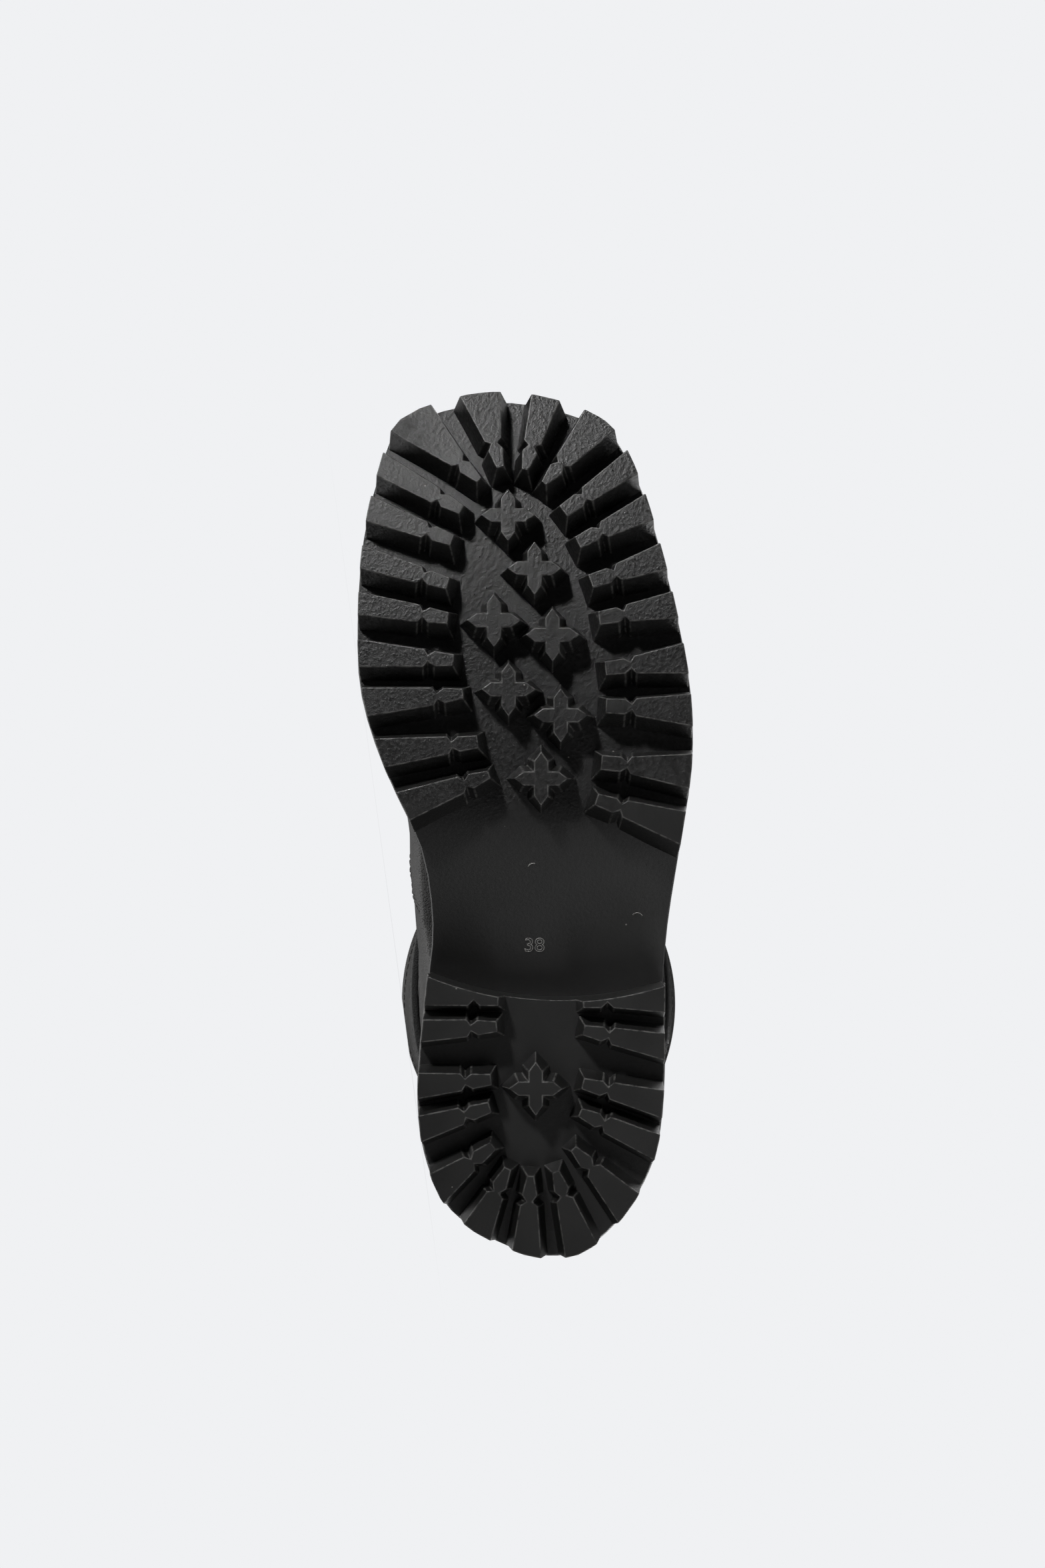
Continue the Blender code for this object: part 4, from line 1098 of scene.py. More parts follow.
def build_tail(material):
    """The strap's free end, with its holes, over the buckle's bar and through the keeper."""
    section = whole_section(TAIL_INNER, TAIL_OUTER)
    mesh, row, place = mapped_grid(len(section), TAIL_STEPS, False)
    shares, heights = section[row].T
    fars, unders, widths = np.array(TAIL_ROWS)[::-1].T
    far = fars[0] + place * (fars[-1] - fars[0])
    ups = shares * (np.interp(far, fars, widths) * TAIL_WIDTH / 2)
    hole = np.zeros(len(row))
    for index in range(HOLE_COUNT):
        gap = np.hypot(far - HOLE_FIRST - index * HOLE_STEP, ups)
        hole = np.maximum(hole, soft_step((HOLE_RADIUS - gap) / HOLE_SOFTNESS + 0.5))
    on_face = heights > TAIL_FACE
    stands = np.interp(far, fars, unders) + heights - np.where(on_face, hole * HOLE_DEPTH, 0.0)
    rim = np.abs(shares)
    # The holes carry the creased mark, so painted shade lies in them.
    builder = placed(mesh, PATH.square(far, ups, stands), creased=hole,
                     seam=np.abs(rim - TAIL_GROOVE_AT) * TAIL_WIDTH / 2, edge=edge_mark(rim))
    bmesh.ops.holes_fill(builder, edges=[edge for edge in builder.edges if edge.is_boundary], sides=0)
    bmesh.ops.recalc_face_normals(builder, faces=builder.faces)
    finished(builder, "strap_end_leather", material, "strap_leather")


# ---------------------------------------------------------------- finishes: shared groups


def feed(tree, socket, value):
    """Links a socket to an output, or sets its number."""
    if isinstance(value, bpy.types.NodeSocket):
        tree.links.new(value, socket)
    else:
        socket.default_value = value


def maths(tree, operation, *values, clamp=False):
    node = tree.nodes.new("ShaderNodeMath")
    node.operation = operation
    node.use_clamp = clamp
    for socket, value in zip(node.inputs, values):
        feed(tree, socket, value)
    return node.outputs[0]


def times(tree, one, two, clamp=False):
    return maths(tree, "MULTIPLY", one, two, clamp=clamp)


def total(tree, base, *parts):
    """A base with parts added to it, each a value and its weight."""
    for value, weight in parts:
        base = maths(tree, "ADD", base, times(tree, value, weight))
    return base


def ramp(tree, value, low, high, to_low=0.0, to_high=1.0):
    """A soft step between two values."""
    node = tree.nodes.new("ShaderNodeMapRange")
    node.interpolation_type = "SMOOTHSTEP"
    for socket, number in zip(node.inputs, (value, low, high, to_low, to_high)):
        feed(tree, socket, number)
    return node.outputs[0]


def blend_colours(tree, share, one, two):
    node = tree.nodes.new("ShaderNodeMix")
    node.data_type = "RGBA"
    feed(tree, node.inputs[0], share)
    for socket, colour in ((node.inputs[6], one), (node.inputs[7], two)):
        feed(tree, socket, colour if isinstance(colour, bpy.types.NodeSocket) else (*colour, 1.0))
    return node.outputs[2]


def painted(tree, colour, *coats):
    """A colour under coats of others, each a mask, its strength and its colour."""
    for mask, strength, coat in coats:
        colour = blend_colours(tree, times(tree, mask, strength), colour, coat)
    return colour


def cloudy(tree, where, scale, detail=2.0, roughness=0.5):
    node = tree.nodes.new("ShaderNodeTexNoise")
    for socket, value in zip(("Vector", "Scale", "Detail", "Roughness"), (where, scale, detail, roughness)):
        feed(tree, node.inputs[socket], value)
    return node.outputs["Fac"]


def cells(tree, where, scale, feature="F1"):
    node = tree.nodes.new("ShaderNodeTexVoronoi")
    node.feature = feature
    feed(tree, node.inputs["Vector"], where)
    feed(tree, node.inputs["Scale"], scale)
    return node


def new_group(name, outputs, **inputs):
    """A shader node group on a Vector and named inputs: returns it with its sockets."""
    group = bpy.data.node_groups.new(name, "ShaderNodeTree")
    for label, value in {"Vector": None, **inputs}.items():
        kind = "NodeSocketVector" if value is None else "NodeSocketFloat"
        made = group.interface.new_socket(name=label, in_out="INPUT", socket_type=kind)
        if value is not None:
            made.default_value = value
    for label in outputs:
        group.interface.new_socket(name=label, in_out="OUTPUT", socket_type="NodeSocketFloat")
    given = group.nodes.new("NodeGroupInput").outputs
    return group, given, given["Vector"], group.nodes.new("NodeGroupOutput").inputs


def make_grain_group():
    """Fine uneven grain of cast rubber: cells of the given size in mm, softened by noise."""
    group, given, where, result = new_group("moulded_grain", ("Height", "Tone"), Size=0.8)
    scale = maths(group, "DIVIDE", 1000.0, given["Size"])
    fine = times(group, cloudy(group, where, scale, 3.0, 0.62), 0.75)
    pebble = cells(group, where, times(group, scale, 0.8), "SMOOTH_F1").outputs["Distance"]
    feed(group, result["Height"], total(group, fine, (pebble, -0.45)))
    broad = cloudy(group, where, times(group, scale, 0.05), 3.0, 0.6)
    feed(group, result["Tone"], ramp(group, broad, 0.3, 0.7))
    return group


def make_wear_group():
    """Rubbed edges with painted highlight lines: strongest where the corners are rounded, broken up in
    patches.
    """
    group, given, where, result = new_group("edge_wear_and_highlight", ("Mask",), Worn=0.0, Patch=3.0, Amount=1.0)
    patches = cloudy(group, where, maths(group, "DIVIDE", 1000.0, given["Patch"]), 4.0, 0.65)
    # The rubbed mask is both wear and a painted highlight on the rounded edges.
    rubbed = times(group, given["Worn"], ramp(group, patches, 0.36, 0.60))
    feed(group, result["Mask"], times(group, rubbed, given["Amount"], clamp=True))
    return group


def make_dust_group():
    """Pale specks: a few cells of the given size in mm hold one small grain each."""
    group, given, where, result = new_group("dust_specks", ("Mask",), Size=5.0, Share=0.2, Reach=0.07)
    spots = cells(group, where, maths(group, "DIVIDE", 1000.0, given["Size"]))
    pick = group.nodes.new("ShaderNodeSeparateColor")
    group.links.new(spots.outputs["Color"], pick.inputs[0])
    chosen = maths(group, "LESS_THAN", pick.outputs[0], given["Share"])
    reach = times(group, given["Reach"], maths(group, "ADD", 0.35, pick.outputs[1]))
    near = maths(group, "LESS_THAN", spots.outputs["Distance"], reach)
    feed(group, result["Mask"], times(group, chosen, near))
    return group


def make_leather_group():
    """Pebbled leather with fine pores: size in mm, and how far creases stretch it flat."""
    group, given, where, result = new_group("leather_grain", ("Height", "Tone"), Size=1.1, Creased=0.0)
    wobble = group.nodes.new("ShaderNodeTexNoise")
    feed(group, wobble.inputs["Vector"], where)
    wobble.inputs["Scale"].default_value = 420.0
    shift = group.nodes.new("ShaderNodeVectorMath")
    shift.operation = "MULTIPLY_ADD"
    for socket, value in zip(shift.inputs, (wobble.outputs["Color"], (0.0009, 0.0009, 0.0009), where)):
        feed(group, socket, value)
    scale = maths(group, "DIVIDE", 1000.0, given["Size"])
    gap = cells(group, shift.outputs[0], scale, "DISTANCE_TO_EDGE").outputs["Distance"]
    pores = cloudy(group, where, times(group, scale, 3.0), 2.0, 0.6)
    height = total(group, ramp(group, gap, 0.0, 0.30), (pores, 0.35))
    feed(group, result["Height"], times(group, height, total(group, 1.0, (given["Creased"], -0.45))))
    feed(group, result["Tone"], cloudy(group, where, 26.0, 4.0, 0.6))
    return group


def make_smudge_group():
    """A soft smudge about a place on the piece, broken up by noise."""
    group, given, where, result = new_group("smudge", ("Mask",), Place=None, Reach=0.01, Break=0.5)
    away = group.nodes.new("ShaderNodeVectorMath")
    away.operation = "DISTANCE"
    feed(group, away.inputs[0], where)
    feed(group, away.inputs[1], given["Place"])
    near = ramp(group, maths(group, "DIVIDE", away.outputs["Value"], given["Reach"]), 1.0, 0.25)
    broken = ramp(group, cloudy(group, where, 260.0, 4.0, 0.62), 0.38, 0.6)
    kept = total(group, maths(group, "SUBTRACT", 1.0, given["Break"]), (broken, given["Break"]))
    feed(group, result["Mask"], times(group, near, kept))
    return group


class Finish:
    """A material with its Principled shader, the piece's own coordinates and the shared groups."""

    groups = {}

    def __init__(self, name):
        self.material = bpy.data.materials.new(name)
        self.material.use_nodes = True
        self.tree = self.material.node_tree
        self.shader = self.tree.nodes["Principled BSDF"]
        self.where = self.tree.nodes.new("ShaderNodeTexCoord").outputs["Object"]

    def group(self, name, **values):
        node = self.tree.nodes.new("ShaderNodeGroup")
        node.node_tree = self.groups[name]
        self.tree.links.new(self.where, node.inputs["Vector"])
        for label, value in values.items():
            feed(self.tree, node.inputs[label], value)
        return node.outputs

    def mark(self, name):
        node = self.tree.nodes.new("ShaderNodeAttribute")
        node.attribute_name = name
        return node.outputs["Fac"]

    def set(self, **values):
        for label, value in values.items():
            self.shader.inputs[label.replace("_", " ")].default_value = value

    def colour(self, socket):
        self.tree.links.new(socket, self.shader.inputs["Base Color"])

    def roughness(self, socket):
        self.tree.links.new(socket, self.shader.inputs["Roughness"])

    def bump(self, *layers):
        """Bump layers, each a height and its depth in mm; a layer lies on the one before it."""
        normal = None
        for height, depth in layers:
            node = self.tree.nodes.new("ShaderNodeBump")
            node.inputs["Distance"].default_value = depth * MM
            self.tree.links.new(height, node.inputs["Height"])
            if normal is not None:
                self.tree.links.new(normal, node.inputs["Normal"])
            normal = node.outputs[0]
        self.tree.links.new(normal, self.shader.inputs["Normal"])


def make_groups():
    """The shared groups, each built once."""
    for make in (make_grain_group, make_wear_group, make_dust_group, make_leather_group,
                 make_smudge_group):
        group = make()
        Finish.groups[group.name] = group


# ---------------------------------------------------------------- finishes

RUBBER_DARK = (0.0085, 0.0084, 0.0082)
RUBBER_WORN = (0.0135, 0.0132, 0.0128)
# Wear and a painted highlight on the rubber's rounded edges, drawn as thin light lines.
RUBBER_WORN_EDGE_HIGHLIGHT = (0.11, 0.108, 0.104)
RUBBER_SMEAR = (0.012, 0.012, 0.012)
# Pale colour of the waist's thin relief: a painted glint on the size number, the scratches' own pale
# colour.
RUBBER_PALE_AND_GLINT = (0.26, 0.255, 0.245)
WELT_DARK = (0.012, 0.0117, 0.0115)
WELT_LIGHT = (0.02, 0.0195, 0.019)
# Wear and a painted highlight on the welt's rounded edges.
WELT_WORN_EDGE_HIGHLIGHT = (0.08, 0.078, 0.075)
LEATHER_DARK = (0.019, 0.0185, 0.018)
LEATHER_LIGHT = (0.034, 0.033, 0.032)
STRAP_DARK = (0.014, 0.0137, 0.0134)
STRAP_LIGHT = (0.025, 0.0245, 0.024)
SEAM_DARK = (0.006, 0.006, 0.006)
# Painted shade in crease troughs and punched holes.
CREASE_PAINTED_SHADE = (0.012, 0.0115, 0.011)
RAW_EDGE = (0.004, 0.004, 0.004)
LINING_DARK = (0.016, 0.0155, 0.015)
LINING_LIGHT = (0.045, 0.043, 0.041)
THREAD_DARK = (0.012, 0.012, 0.012)
THREAD_LIGHT = (0.05, 0.049, 0.047)
NICKEL_BRIGHT = (0.60, 0.60, 0.60)
NICKEL_DULL = (0.44, 0.43, 0.42)
SOCK_DARK = (0.030, 0.028, 0.026)
SOCK_LIGHT = (0.10, 0.094, 0.088)
SOCK_WORN = (0.03, 0.029, 0.027)
DUST = (0.34, 0.33, 0.31)

# The grain of the tread fades out between these places, and a dull smear lies on a toe bar.
GRAIN_FADE = (140.0, 158.0)
SMEAR_AT = (276.0, -46.0)


def sole_rubber():
    """Black moulded rubber: grained under the forefoot, smoother behind it, rubbed and painted with
    highlight lines at its edges.
    """
    finish = Finish("sole_rubber_black")
    tree = finish.tree
    forefoot = ramp(tree, finish.mark("forward"), *GRAIN_FADE)
    grain = finish.group("moulded_grain", Size=1.0)
    fine = finish.group("moulded_grain", Size=0.35)
    rubbed = times(tree, finish.mark("tread"), total(tree, 0.35, (grain["Tone"], 0.5)))
    # Rounded edges: wear plus painted highlight lines.
    edges = finish.group("edge_wear_and_highlight", Worn=finish.mark("worn_and_lit_edge"), Patch=2.4, Amount=0.9)["Mask"]
    smear_at = lying_point(*SMEAR_AT, tread_height(SMEAR_AT[0]))
    smear = finish.group("smudge", Place=smear_at, Reach=0.011, Break=0.7)["Mask"]
    specks = finish.group("dust_specks", Size=6.5, Share=0.2, Reach=0.05)["Mask"]
    # The pale mark gives the size number a painted glint.
    finish.colour(painted(tree, RUBBER_DARK, (rubbed, 1.0, RUBBER_WORN), (edges, 1.0, RUBBER_WORN_EDGE_HIGHLIGHT),
                          (smear, 0.6, RUBBER_SMEAR), (specks, 0.8, DUST),
                          (finish.mark("pale"), 1.0, RUBBER_PALE_AND_GLINT)))
    speckle = times(tree, maths(tree, "SUBTRACT", 0.2, grain["Height"]), 0.6)
    finish.roughness(total(tree, 0.42, (forefoot, -0.02), (smear, 0.22), (speckle, forefoot),
                           (grain["Tone"], 0.05)))
    cast = times(tree, grain["Height"], total(tree, 0.22, (forefoot, 0.78)))
    finish.bump((cast, 0.24), (fine["Height"], 0.03))
    finish.set(Specular_IOR_Level=0.9)
    return finish.material


def midsole_rubber():
    """Satin rubber of the welt, lightly scuffed, with a painted highlight on its rounded edges."""
    finish = Finish("midsole_rubber_satin")
    tree = finish.tree
    grain = finish.group("moulded_grain", Size=0.5)
    edges = finish.group("edge_wear_and_highlight", Worn=finish.mark("worn_and_lit_edge"), Patch=3.0, Amount=0.5)["Mask"]
    finish.colour(painted(tree, WELT_DARK, (grain["Tone"], 0.5, WELT_LIGHT), (edges, 1.0, WELT_WORN_EDGE_HIGHLIGHT)))
    finish.roughness(total(tree, 0.46, (grain["Tone"], 0.12)))
    finish.bump((grain["Height"], 0.05))
    return finish.material


def grained_leather(name, size, dark, light, depth):
    """Black full-grain leather: pebbles, paler where it stretches, darker in seams, with painted shade in
    its creases and in the holes of the strap's free end.
    """
    finish = Finish(name)
    tree = finish.tree
    creased, edge, lining = (finish.mark(mark) for mark in ("creased", "edge", "lining"))
    grain = finish.group("leather_grain", Size=size, Creased=creased)
    seam = ramp(tree, finish.mark("seam"), 0.9, 0.15)
    weave = cloudy(tree, finish.where, 1900.0, 2.0, 0.7)
    cloth = blend_colours(tree, weave, LINING_DARK, LINING_LIGHT)
    specks = finish.group("dust_specks", Size=9.0, Share=0.10, Reach=0.03)["Mask"]
    finish.colour(painted(tree, dark, (ramp(tree, grain["Tone"], 0.35, 0.68), 1.0, light),
                          (seam, 0.75, SEAM_DARK), (creased, 0.35, CREASE_PAINTED_SHADE), (edge, 0.9, RAW_EDGE),
                          (lining, 1.0, cloth), (specks, 0.5, DUST)))
    finish.roughness(total(tree, 0.34, (grain["Tone"], 0.14), (creased, 0.10), (edge, 0.3), (lining, 0.4)))
    finish.bump((grain["Height"], depth), (weave, 0.02))
    finish.set(Specular_IOR_Level=0.5)
    return finish.material


def waxed_thread():
    """Twisted black thread, a little shiny."""
    finish = Finish("waxed_thread")
    tree = finish.tree
    fibres = cloudy(tree, finish.where, 5200.0, 2.0, 0.6)
    finish.colour(blend_colours(tree, fibres, THREAD_DARK, THREAD_LIGHT))
    finish.roughness(ramp(tree, fibres, 0.3, 0.7, 0.38, 0.55))
    finish.bump((fibres, 0.06))
    return finish.material


def nickel():
    """Brushed nickel plate, duller in its scratches."""
    finish = Finish("brushed_nickel")
    tree = finish.tree
    stretch = tree.nodes.new("ShaderNodeMapping")
    stretch.inputs["Scale"].default_value = (1.0, 0.12, 1.0)
    tree.links.new(finish.where, stretch.inputs["Vector"])
    brushed = cloudy(tree, stretch.outputs[0], 3600.0, 3.0, 0.6)
    tarnish = cloudy(tree, finish.where, 240.0, 3.0, 0.6)
    finish.colour(blend_colours(tree, ramp(tree, tarnish, 0.35, 0.7), NICKEL_BRIGHT, NICKEL_DULL))
    finish.roughness(ramp(tree, brushed, 0.3, 0.7, 0.20, 0.36))
    finish.bump((brushed, 0.02))
    finish.set(Metallic=1.0)
    return finish.material


def sock_cloth():
    """The insole's dark woven sock."""
    finish = Finish("insole_sock_cloth")
    tree = finish.tree
    bands = []
    for direction in ("X", "Z"):
        wave = tree.nodes.new("ShaderNodeTexWave")
        wave.bands_direction = direction
        wave.inputs["Scale"].default_value = 260.0
        wave.inputs["Distortion"].default_value = 0.6
        tree.links.new(finish.where, wave.inputs["Vector"])
        bands.append(wave.outputs["Fac"])
    threads = times(tree, *bands)
    tone = cloudy(tree, finish.where, 60.0, 3.0, 0.6)
    finish.colour(painted(tree, SOCK_DARK, (threads, 1.0, SOCK_LIGHT), (tone, 0.4, SOCK_WORN)))
    finish.roughness(ramp(tree, threads, 0.0, 1.0, 0.95, 0.8))
    finish.bump((threads, 0.12))
    finish.set(Sheen_Weight=0.25)
    return finish.material


# ---------------------------------------------------------------- stitches

# Stitches: step along the seam, length and thickness.
UPPER_STITCH = (3.2, 2.4, 0.6)
STRAP_STITCH = (2.7, 2.1, 0.7)
WELT_STITCH = (4.4, 3.4, 0.9)
STITCH_RISE = 0.05
STITCH_MARGINS = (1.8, 4.0)
STITCH_SHARE = 0.823
STITCH_HEIGHT = 2.62
WELT_INSET = 2.6
LOOK_AHEAD = 0.3
STRIP_STITCH_RISE = 0.15
WELT_STITCH_RISE = 0.1
LENGTHWAYS = Matrix.Rotation(math.pi / 2, 4, "Y")

# Panels with stitched seams: number, first and last angle (degrees) round the upper.
SEWN_PANELS = ((0, 56, 304), (1, -84, 84))
SEAM_LEVELS = (0.9, 9.9)
SEAM_RUNGS = 500
SEAM_COLUMNS = 180
STRIP_LEVELS = (8.55, BAND_LEVEL - 0.06)
STRIP_RUNGS = 160
STRIP_TURN = 40.0
STRIP_STEPS = 60
BAND_STITCHES = (BAND_LEVEL + 0.055, BAND_LEVEL + 0.12)
BAND_STEPS = 400
STRAP_STEPS = 700


def seam_path(panel, margin, first_angle, last_angle):
    """Levels and angles of a line that runs inside a panel, this margin from its seam."""
    levels, angles = [], []
    ladder = np.linspace(*SEAM_LEVELS, SEAM_RUNGS)
    for angle in np.radians(np.linspace(first_angle, last_angle, SEAM_COLUMNS)):
        points = upper_points(ladder, np.full(SEAM_RUNGS, angle))
        depth = panel_distances(points)[panel] - margin
        leaves = np.nonzero((depth[:-1] > 0.0) & (depth[1:] <= 0.0))[0]
        if len(leaves):
            levels.append(ladder[leaves[0]])
            angles.append(angle)
    return np.array(levels), np.array(angles)


def read_along(rows, lengths, stops):
    """Rows of three numbers read at stops along a path."""
    return np.stack([np.interp(stops, lengths, column) for column in rows.T], axis=1)


def sew(builder, points, normals, step, long, thick):
    """Stitches at equal steps along a path, each one small grain of thread."""
    lengths = path_lengths(points)
    stops = np.arange(step / 2, lengths[-1], step)
    middles = read_along(points, lengths, stops)
    aheads = read_along(points, lengths, stops + LOOK_AHEAD)
    for middle, ahead, out in zip(middles, aheads, read_along(normals, lengths, stops)):
        along = Vector(ahead - middle).normalized()
        away = Vector(out)
        away = (away - along * away.dot(along)).normalized()
        turn = Matrix((along * long, away.cross(along) * thick, away * thick)).transposed().to_4x4()
        bmesh.ops.create_uvsphere(builder, u_segments=6, v_segments=5, radius=0.5,
                                  matrix=Matrix.Translation(middle) @ turn @ LENGTHWAYS)


def sew_on_upper(builder, levels, angles, rise):
    """Stitches along a line of the upper, on its creased and stepped surface."""
    smooth = upper_points(levels, angles)
    normals = upper_normals(levels, angles)
    creases, _ = leather_relief(levels, angles, smooth)
    sew(builder, smooth + normals * (creases + rise)[:, None], normals, *UPPER_STITCH)


def build_upper_stitches(material):
    """Twin rows at each seam and round the collar band, and one row up each side of the strip."""
    builder = bmesh.new()
    for margin in STITCH_MARGINS:
        for panel, first_angle, last_angle in SEWN_PANELS:
            levels, angles = seam_path(panel, margin, first_angle, last_angle)
            sew_on_upper(builder, levels, angles, OVERLAY_STEP + STITCH_RISE)
    climb = np.linspace(*STRIP_LEVELS, STRIP_RUNGS)
    reach = BACK_STRIP_HALF - STITCH_MARGINS[0]
    for side in (-1.0, 1.0):
        turns = np.radians(np.linspace(0.0, STRIP_TURN, STRIP_STEPS)) * side
        rungs = (upper_points(np.full(STRIP_STEPS, level), turns) for level in climb)
        angles = np.array([np.interp(reach, np.abs(rung[:, 1]), turns) for rung in rungs])
        sew_on_upper(builder, climb, angles, OVERLAY_STEP + STRIP_STITCH_RISE)
    around = np.linspace(0.0, FULL_TURN, BAND_STEPS)
    for level in BAND_STITCHES:
        sew_on_upper(builder, np.full(BAND_STEPS, level), around, COLLAR_BAND_STEP + STITCH_RISE)
    finished(builder, "upper_stitches", material, "upper_leather")


def build_strap_stitches(material):
    """A row in the groove inside each edge of the strap."""
    builder = bmesh.new()
    around = np.linspace(0.0, FULL_TURN, STRAP_STEPS)
    for side in (-1.0, 1.0):
        ups = np.full(STRAP_STEPS, side * STITCH_SHARE * STRAP_WIDTH / 2)
        points = PATH.points(around, ups, np.full(STRAP_STEPS, STRAP_GAP + STITCH_HEIGHT))
        sew(builder, points, upper_normals(PATH.levels_at(around, ups), around), *STRAP_STITCH)
    finished(builder, "strap_stitches", material, "strap_leather")


def build_welt_stitches(material):
    """The row of stitches on the ledge of the midsole, round the upper."""
    builder = bmesh.new()
    rise = LUG_DEPTH + PLATE_THICKNESS + SEAT_GAP + MIDSOLE_THICKNESS
    loop = sole_plan(WELT_INSET)
    places = [(leaned(point.x, rise), point.y) for point in loop + loop[:1]]
    path = np.array([(u, v, midsole_base(u) + MIDSOLE_THICKNESS + WELT_STITCH_RISE)
                     for u, v in places])
    upright = np.tile((0.0, 0.0, 1.0), (len(path), 1))
    sew(builder, path, upright, *WELT_STITCH)
    finished(builder, "welt_stitches", material, "midsole_rubber")


# ---------------------------------------------------------------- size number, scratches, keeper

# The size number is written at one size, then stretched to its height and width.
NUMBER_AT = (102.8, -1.9)
NUMBER_WRITTEN = 7.2
NUMBER_TALL = 5.0
NUMBER_WIDE = 6.8
NUMBER_LINE = 0.17
SCRATCH_LINE = 0.19
RELIEF_STAND = 0.08
LINE_MERGE_NEAR = 0.0005

# Curled scratches in the waist: middle u, v, length, bow forward and turn in degrees.
SCRATCH_HALF_STEPS = 4
SCRATCHES = (
    (130.2, -3.0, 2.6, 0.5, -24.0),
    (113.0, 33.0, 3.4, 0.9, 6.0),
)

KEEPER_AT = -29.0
KEEPER_LONG = 8.0
KEEPER_THICKNESS = 1.1
KEEPER_STEPS = 4
KEEPER_RADIUS = 0.3
KEEPER_SIDE_GAP = 0.8
KEEPER_TOP_GAP = 0.2
KEEPER_TAIL_GAP = 0.5
KEEPER_FOOT = 0.6
KEEPER_SHOULDER = (1.2, 0.4)


def mesh_of(curve, name):
    """A curve or text turned into a mesh builder, in its own units."""
    holder = add_object(name, curve)
    graph = bpy.context.evaluated_depsgraph_get()
    mesh = bpy.data.meshes.new_from_object(holder.evaluated_get(graph))
    bpy.data.objects.remove(holder)
    builder = bmesh.new()
    builder.from_mesh(mesh)
    bpy.data.meshes.remove(mesh)
    bmesh.ops.remove_doubles(builder, verts=builder.verts, dist=LINE_MERGE_NEAR)
    return builder


def lay_on_waist(builder, name, material):
    """Thin lines, drawn flat, laid as low relief on the underside of the waist and marked pale: a painted
    glint on the size number, the scratches' own pale colour.
    """
    for vert in builder.verts:
        u, v, stand = vert.co
        vert.co = (u, v, floor_height(u) - RELIEF_STAND - stand)
    builder.normal_update()
    bmesh.ops.recalc_face_normals(builder, faces=builder.faces)
    # Marks the lines pale: a painted glint on the size number's relief.
    pale = builder.faces.layers.float.new("pale")
    for face in builder.faces:
        face[pale] = 1.0
    finished(builder, name, material, "sole_rubber")


def build_size_number(material):
    """The plain size number under the waist, thin lines in low relief with a painted glint."""
    text = bpy.data.curves.new("size_number", "FONT")
    text.body = "38"
    text.size = NUMBER_WRITTEN
    text.fill_mode = "NONE"
    text.bevel_depth = NUMBER_LINE
    text.bevel_resolution = 1
    text.resolution_u = 5
    builder = mesh_of(text, "size_number")
    written = np.array([vert.co[:2] for vert in builder.verts])
    low, high = written.min(axis=0), written.max(axis=0)
    placed_at = (written - (low + high) / 2) * (NUMBER_WIDE, NUMBER_TALL) / (high - low)
    for vert, (across, up) in zip(builder.verts, placed_at):
        vert.co = (NUMBER_AT[0] + up, NUMBER_AT[1] + across, vert.co.z)
    lay_on_waist(builder, "size_number_relief", material)


def build_scratches(material):
    """Two curled scratches, each a thin bowed line."""
    lines = bpy.data.curves.new("scratches", "CURVE")
    lines.dimensions = "3D"
    lines.bevel_depth = SCRATCH_LINE
    lines.bevel_resolution = 1
    lines.use_fill_caps = True
    for u, v, length, bow, turn in SCRATCHES:
        spline = lines.splines.new("POLY")
        spline.points.add(2 * SCRATCH_HALF_STEPS)
        for index, point in enumerate(spline.points):
            share = index / SCRATCH_HALF_STEPS - 1.0
            flat = Vector((bow * (1.0 - share * share), share * length / 2.0))
            flat = Matrix.Rotation(math.radians(turn), 2) @ flat
            point.co = (u + flat.x, v + flat.y, 0.0, 1.0)
    lay_on_waist(mesh_of(lines, "scratches"), "waist_scratches", material)


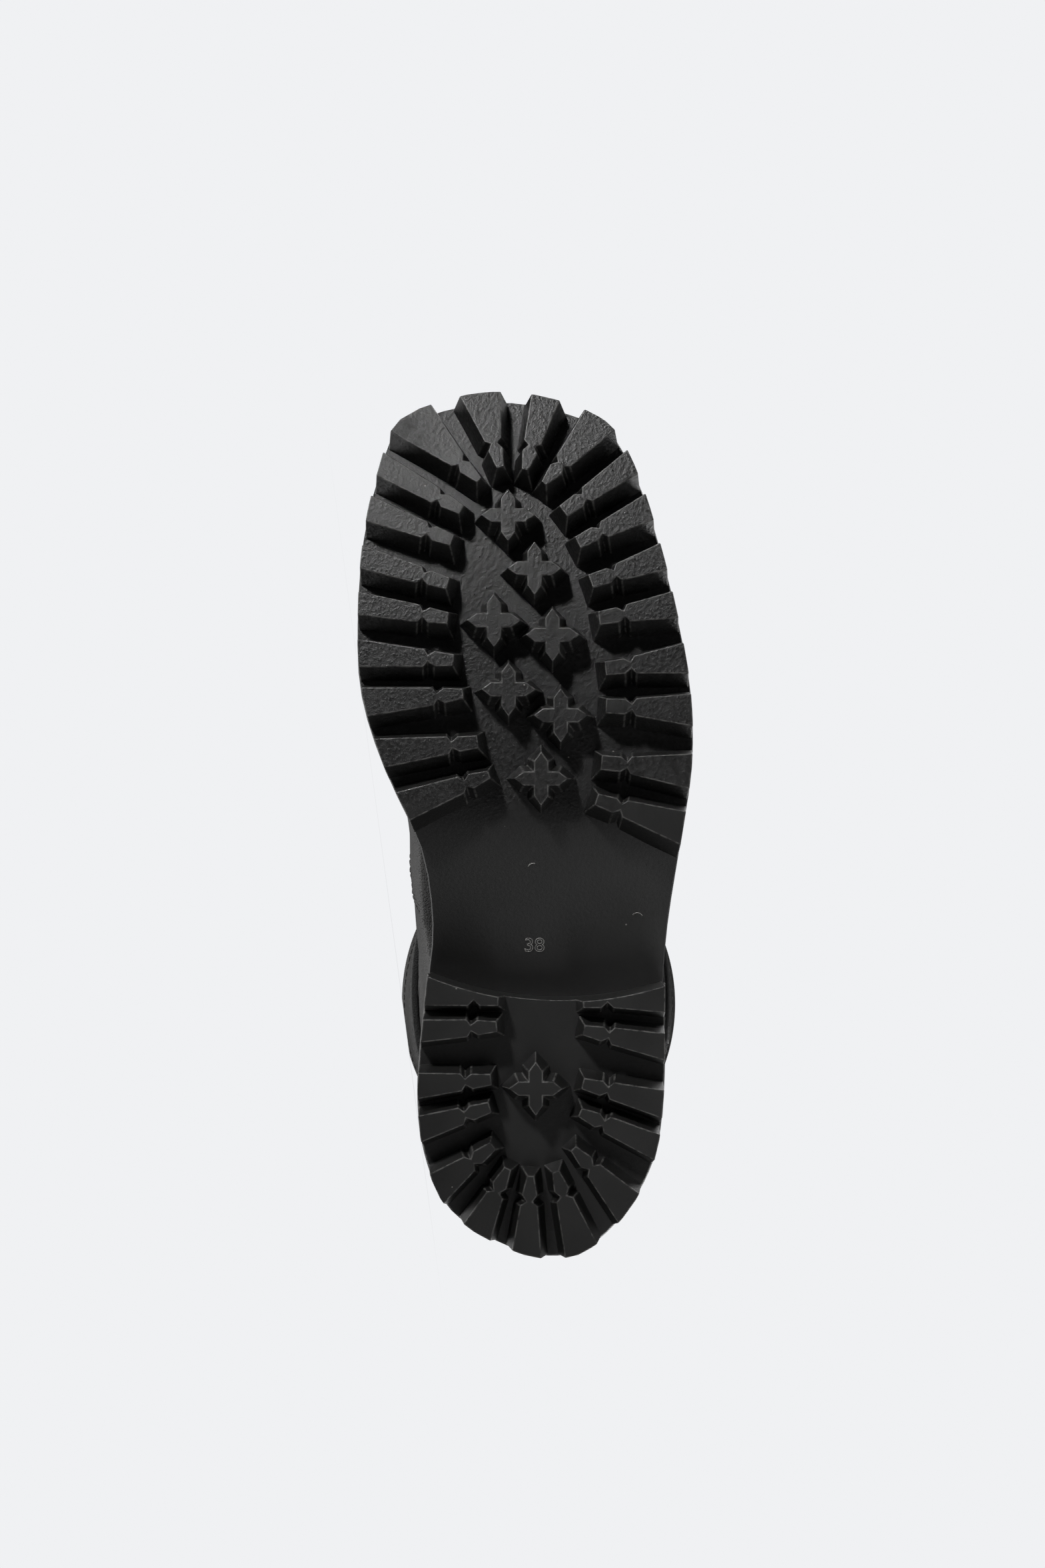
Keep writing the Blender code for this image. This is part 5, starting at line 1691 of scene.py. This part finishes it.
def keeper_outline():
    """The keeper's section across the strap: distance up the leg and stand-off, inside then out."""
    side = STRAP_WIDTH / 2 + KEEPER_SIDE_GAP
    over = ON_STRAP + TAIL_THICKNESS + KEEPER_TOP_GAP
    tail_side = TAIL_WIDTH / 2 + KEEPER_TAIL_GAP
    outer_side = side + KEEPER_THICKNESS
    top = over + KEEPER_THICKNESS
    inner_drop, outer_drop = KEEPER_SHOULDER
    half = ((0.0, over), (tail_side, over), (side, over - inner_drop), (side, KEEPER_FOOT),
            (outer_side, KEEPER_FOOT), (outer_side, over - outer_drop), (tail_side + 0.6, top),
            (0.0, top))
    return half + tuple((-up, stand) for up, stand in half[-2:0:-1])


def build_keeper(material):
    """The leather loop that holds the strap's free end, its edges rounded."""
    builder = new_builder()
    ups, stands = zip(*keeper_outline())
    rows = []
    for step in range(KEEPER_STEPS + 1):
        far = KEEPER_AT + KEEPER_LONG * (step / KEEPER_STEPS - 0.5)
        rows.append(PATH.square(np.full(len(ups), far), ups, stands).tolist())
    block, _ = stacked(builder, rows)
    round_off(builder, edges_of(builder, block), KEEPER_RADIUS, sharpest=30.0, segments=3)
    seam = builder.verts.layers.float.new("seam")
    for vert in builder.verts:
        vert[seam] = NO_SEAM
    keeper = finished(builder, "strap_keeper_leather", material, "strap_leather", "strap_keeper")
    weigh_normals(keeper, 50.0)


def keep_node(name, material):
    """A CAD part whose shape is right, in its finish."""
    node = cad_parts[name]
    if not node.data.materials:
        node.data.materials.append(material)
    for slot in node.material_slots:
        slot.link = "OBJECT"
        slot.material = material


# ---------------------------------------------------------------- the boot


def build_boot():
    make_groups()
    sole = sole_rubber()
    build_outsole(sole)
    build_heel(sole)
    build_size_number(sole)
    build_scratches(sole)
    build_midsole(midsole_rubber())
    build_upper(grained_leather("upper_leather_black", 1.15, LEATHER_DARK, LEATHER_LIGHT, 0.11))
    strap = grained_leather("strap_leather_black", 0.95, STRAP_DARK, STRAP_LIGHT, 0.08)
    build_strap(strap)
    build_tail(strap)
    build_keeper(strap)
    thread = waxed_thread()
    build_upper_stitches(thread)
    build_strap_stitches(thread)
    build_welt_stitches(thread)
    metal = nickel()
    keep_node("buckle_frame", metal)
    keep_node("buckle_prong", metal)
    keep_node("insole", sock_cloth())


build_camera()
build_light()
build_floor()
build_boot()
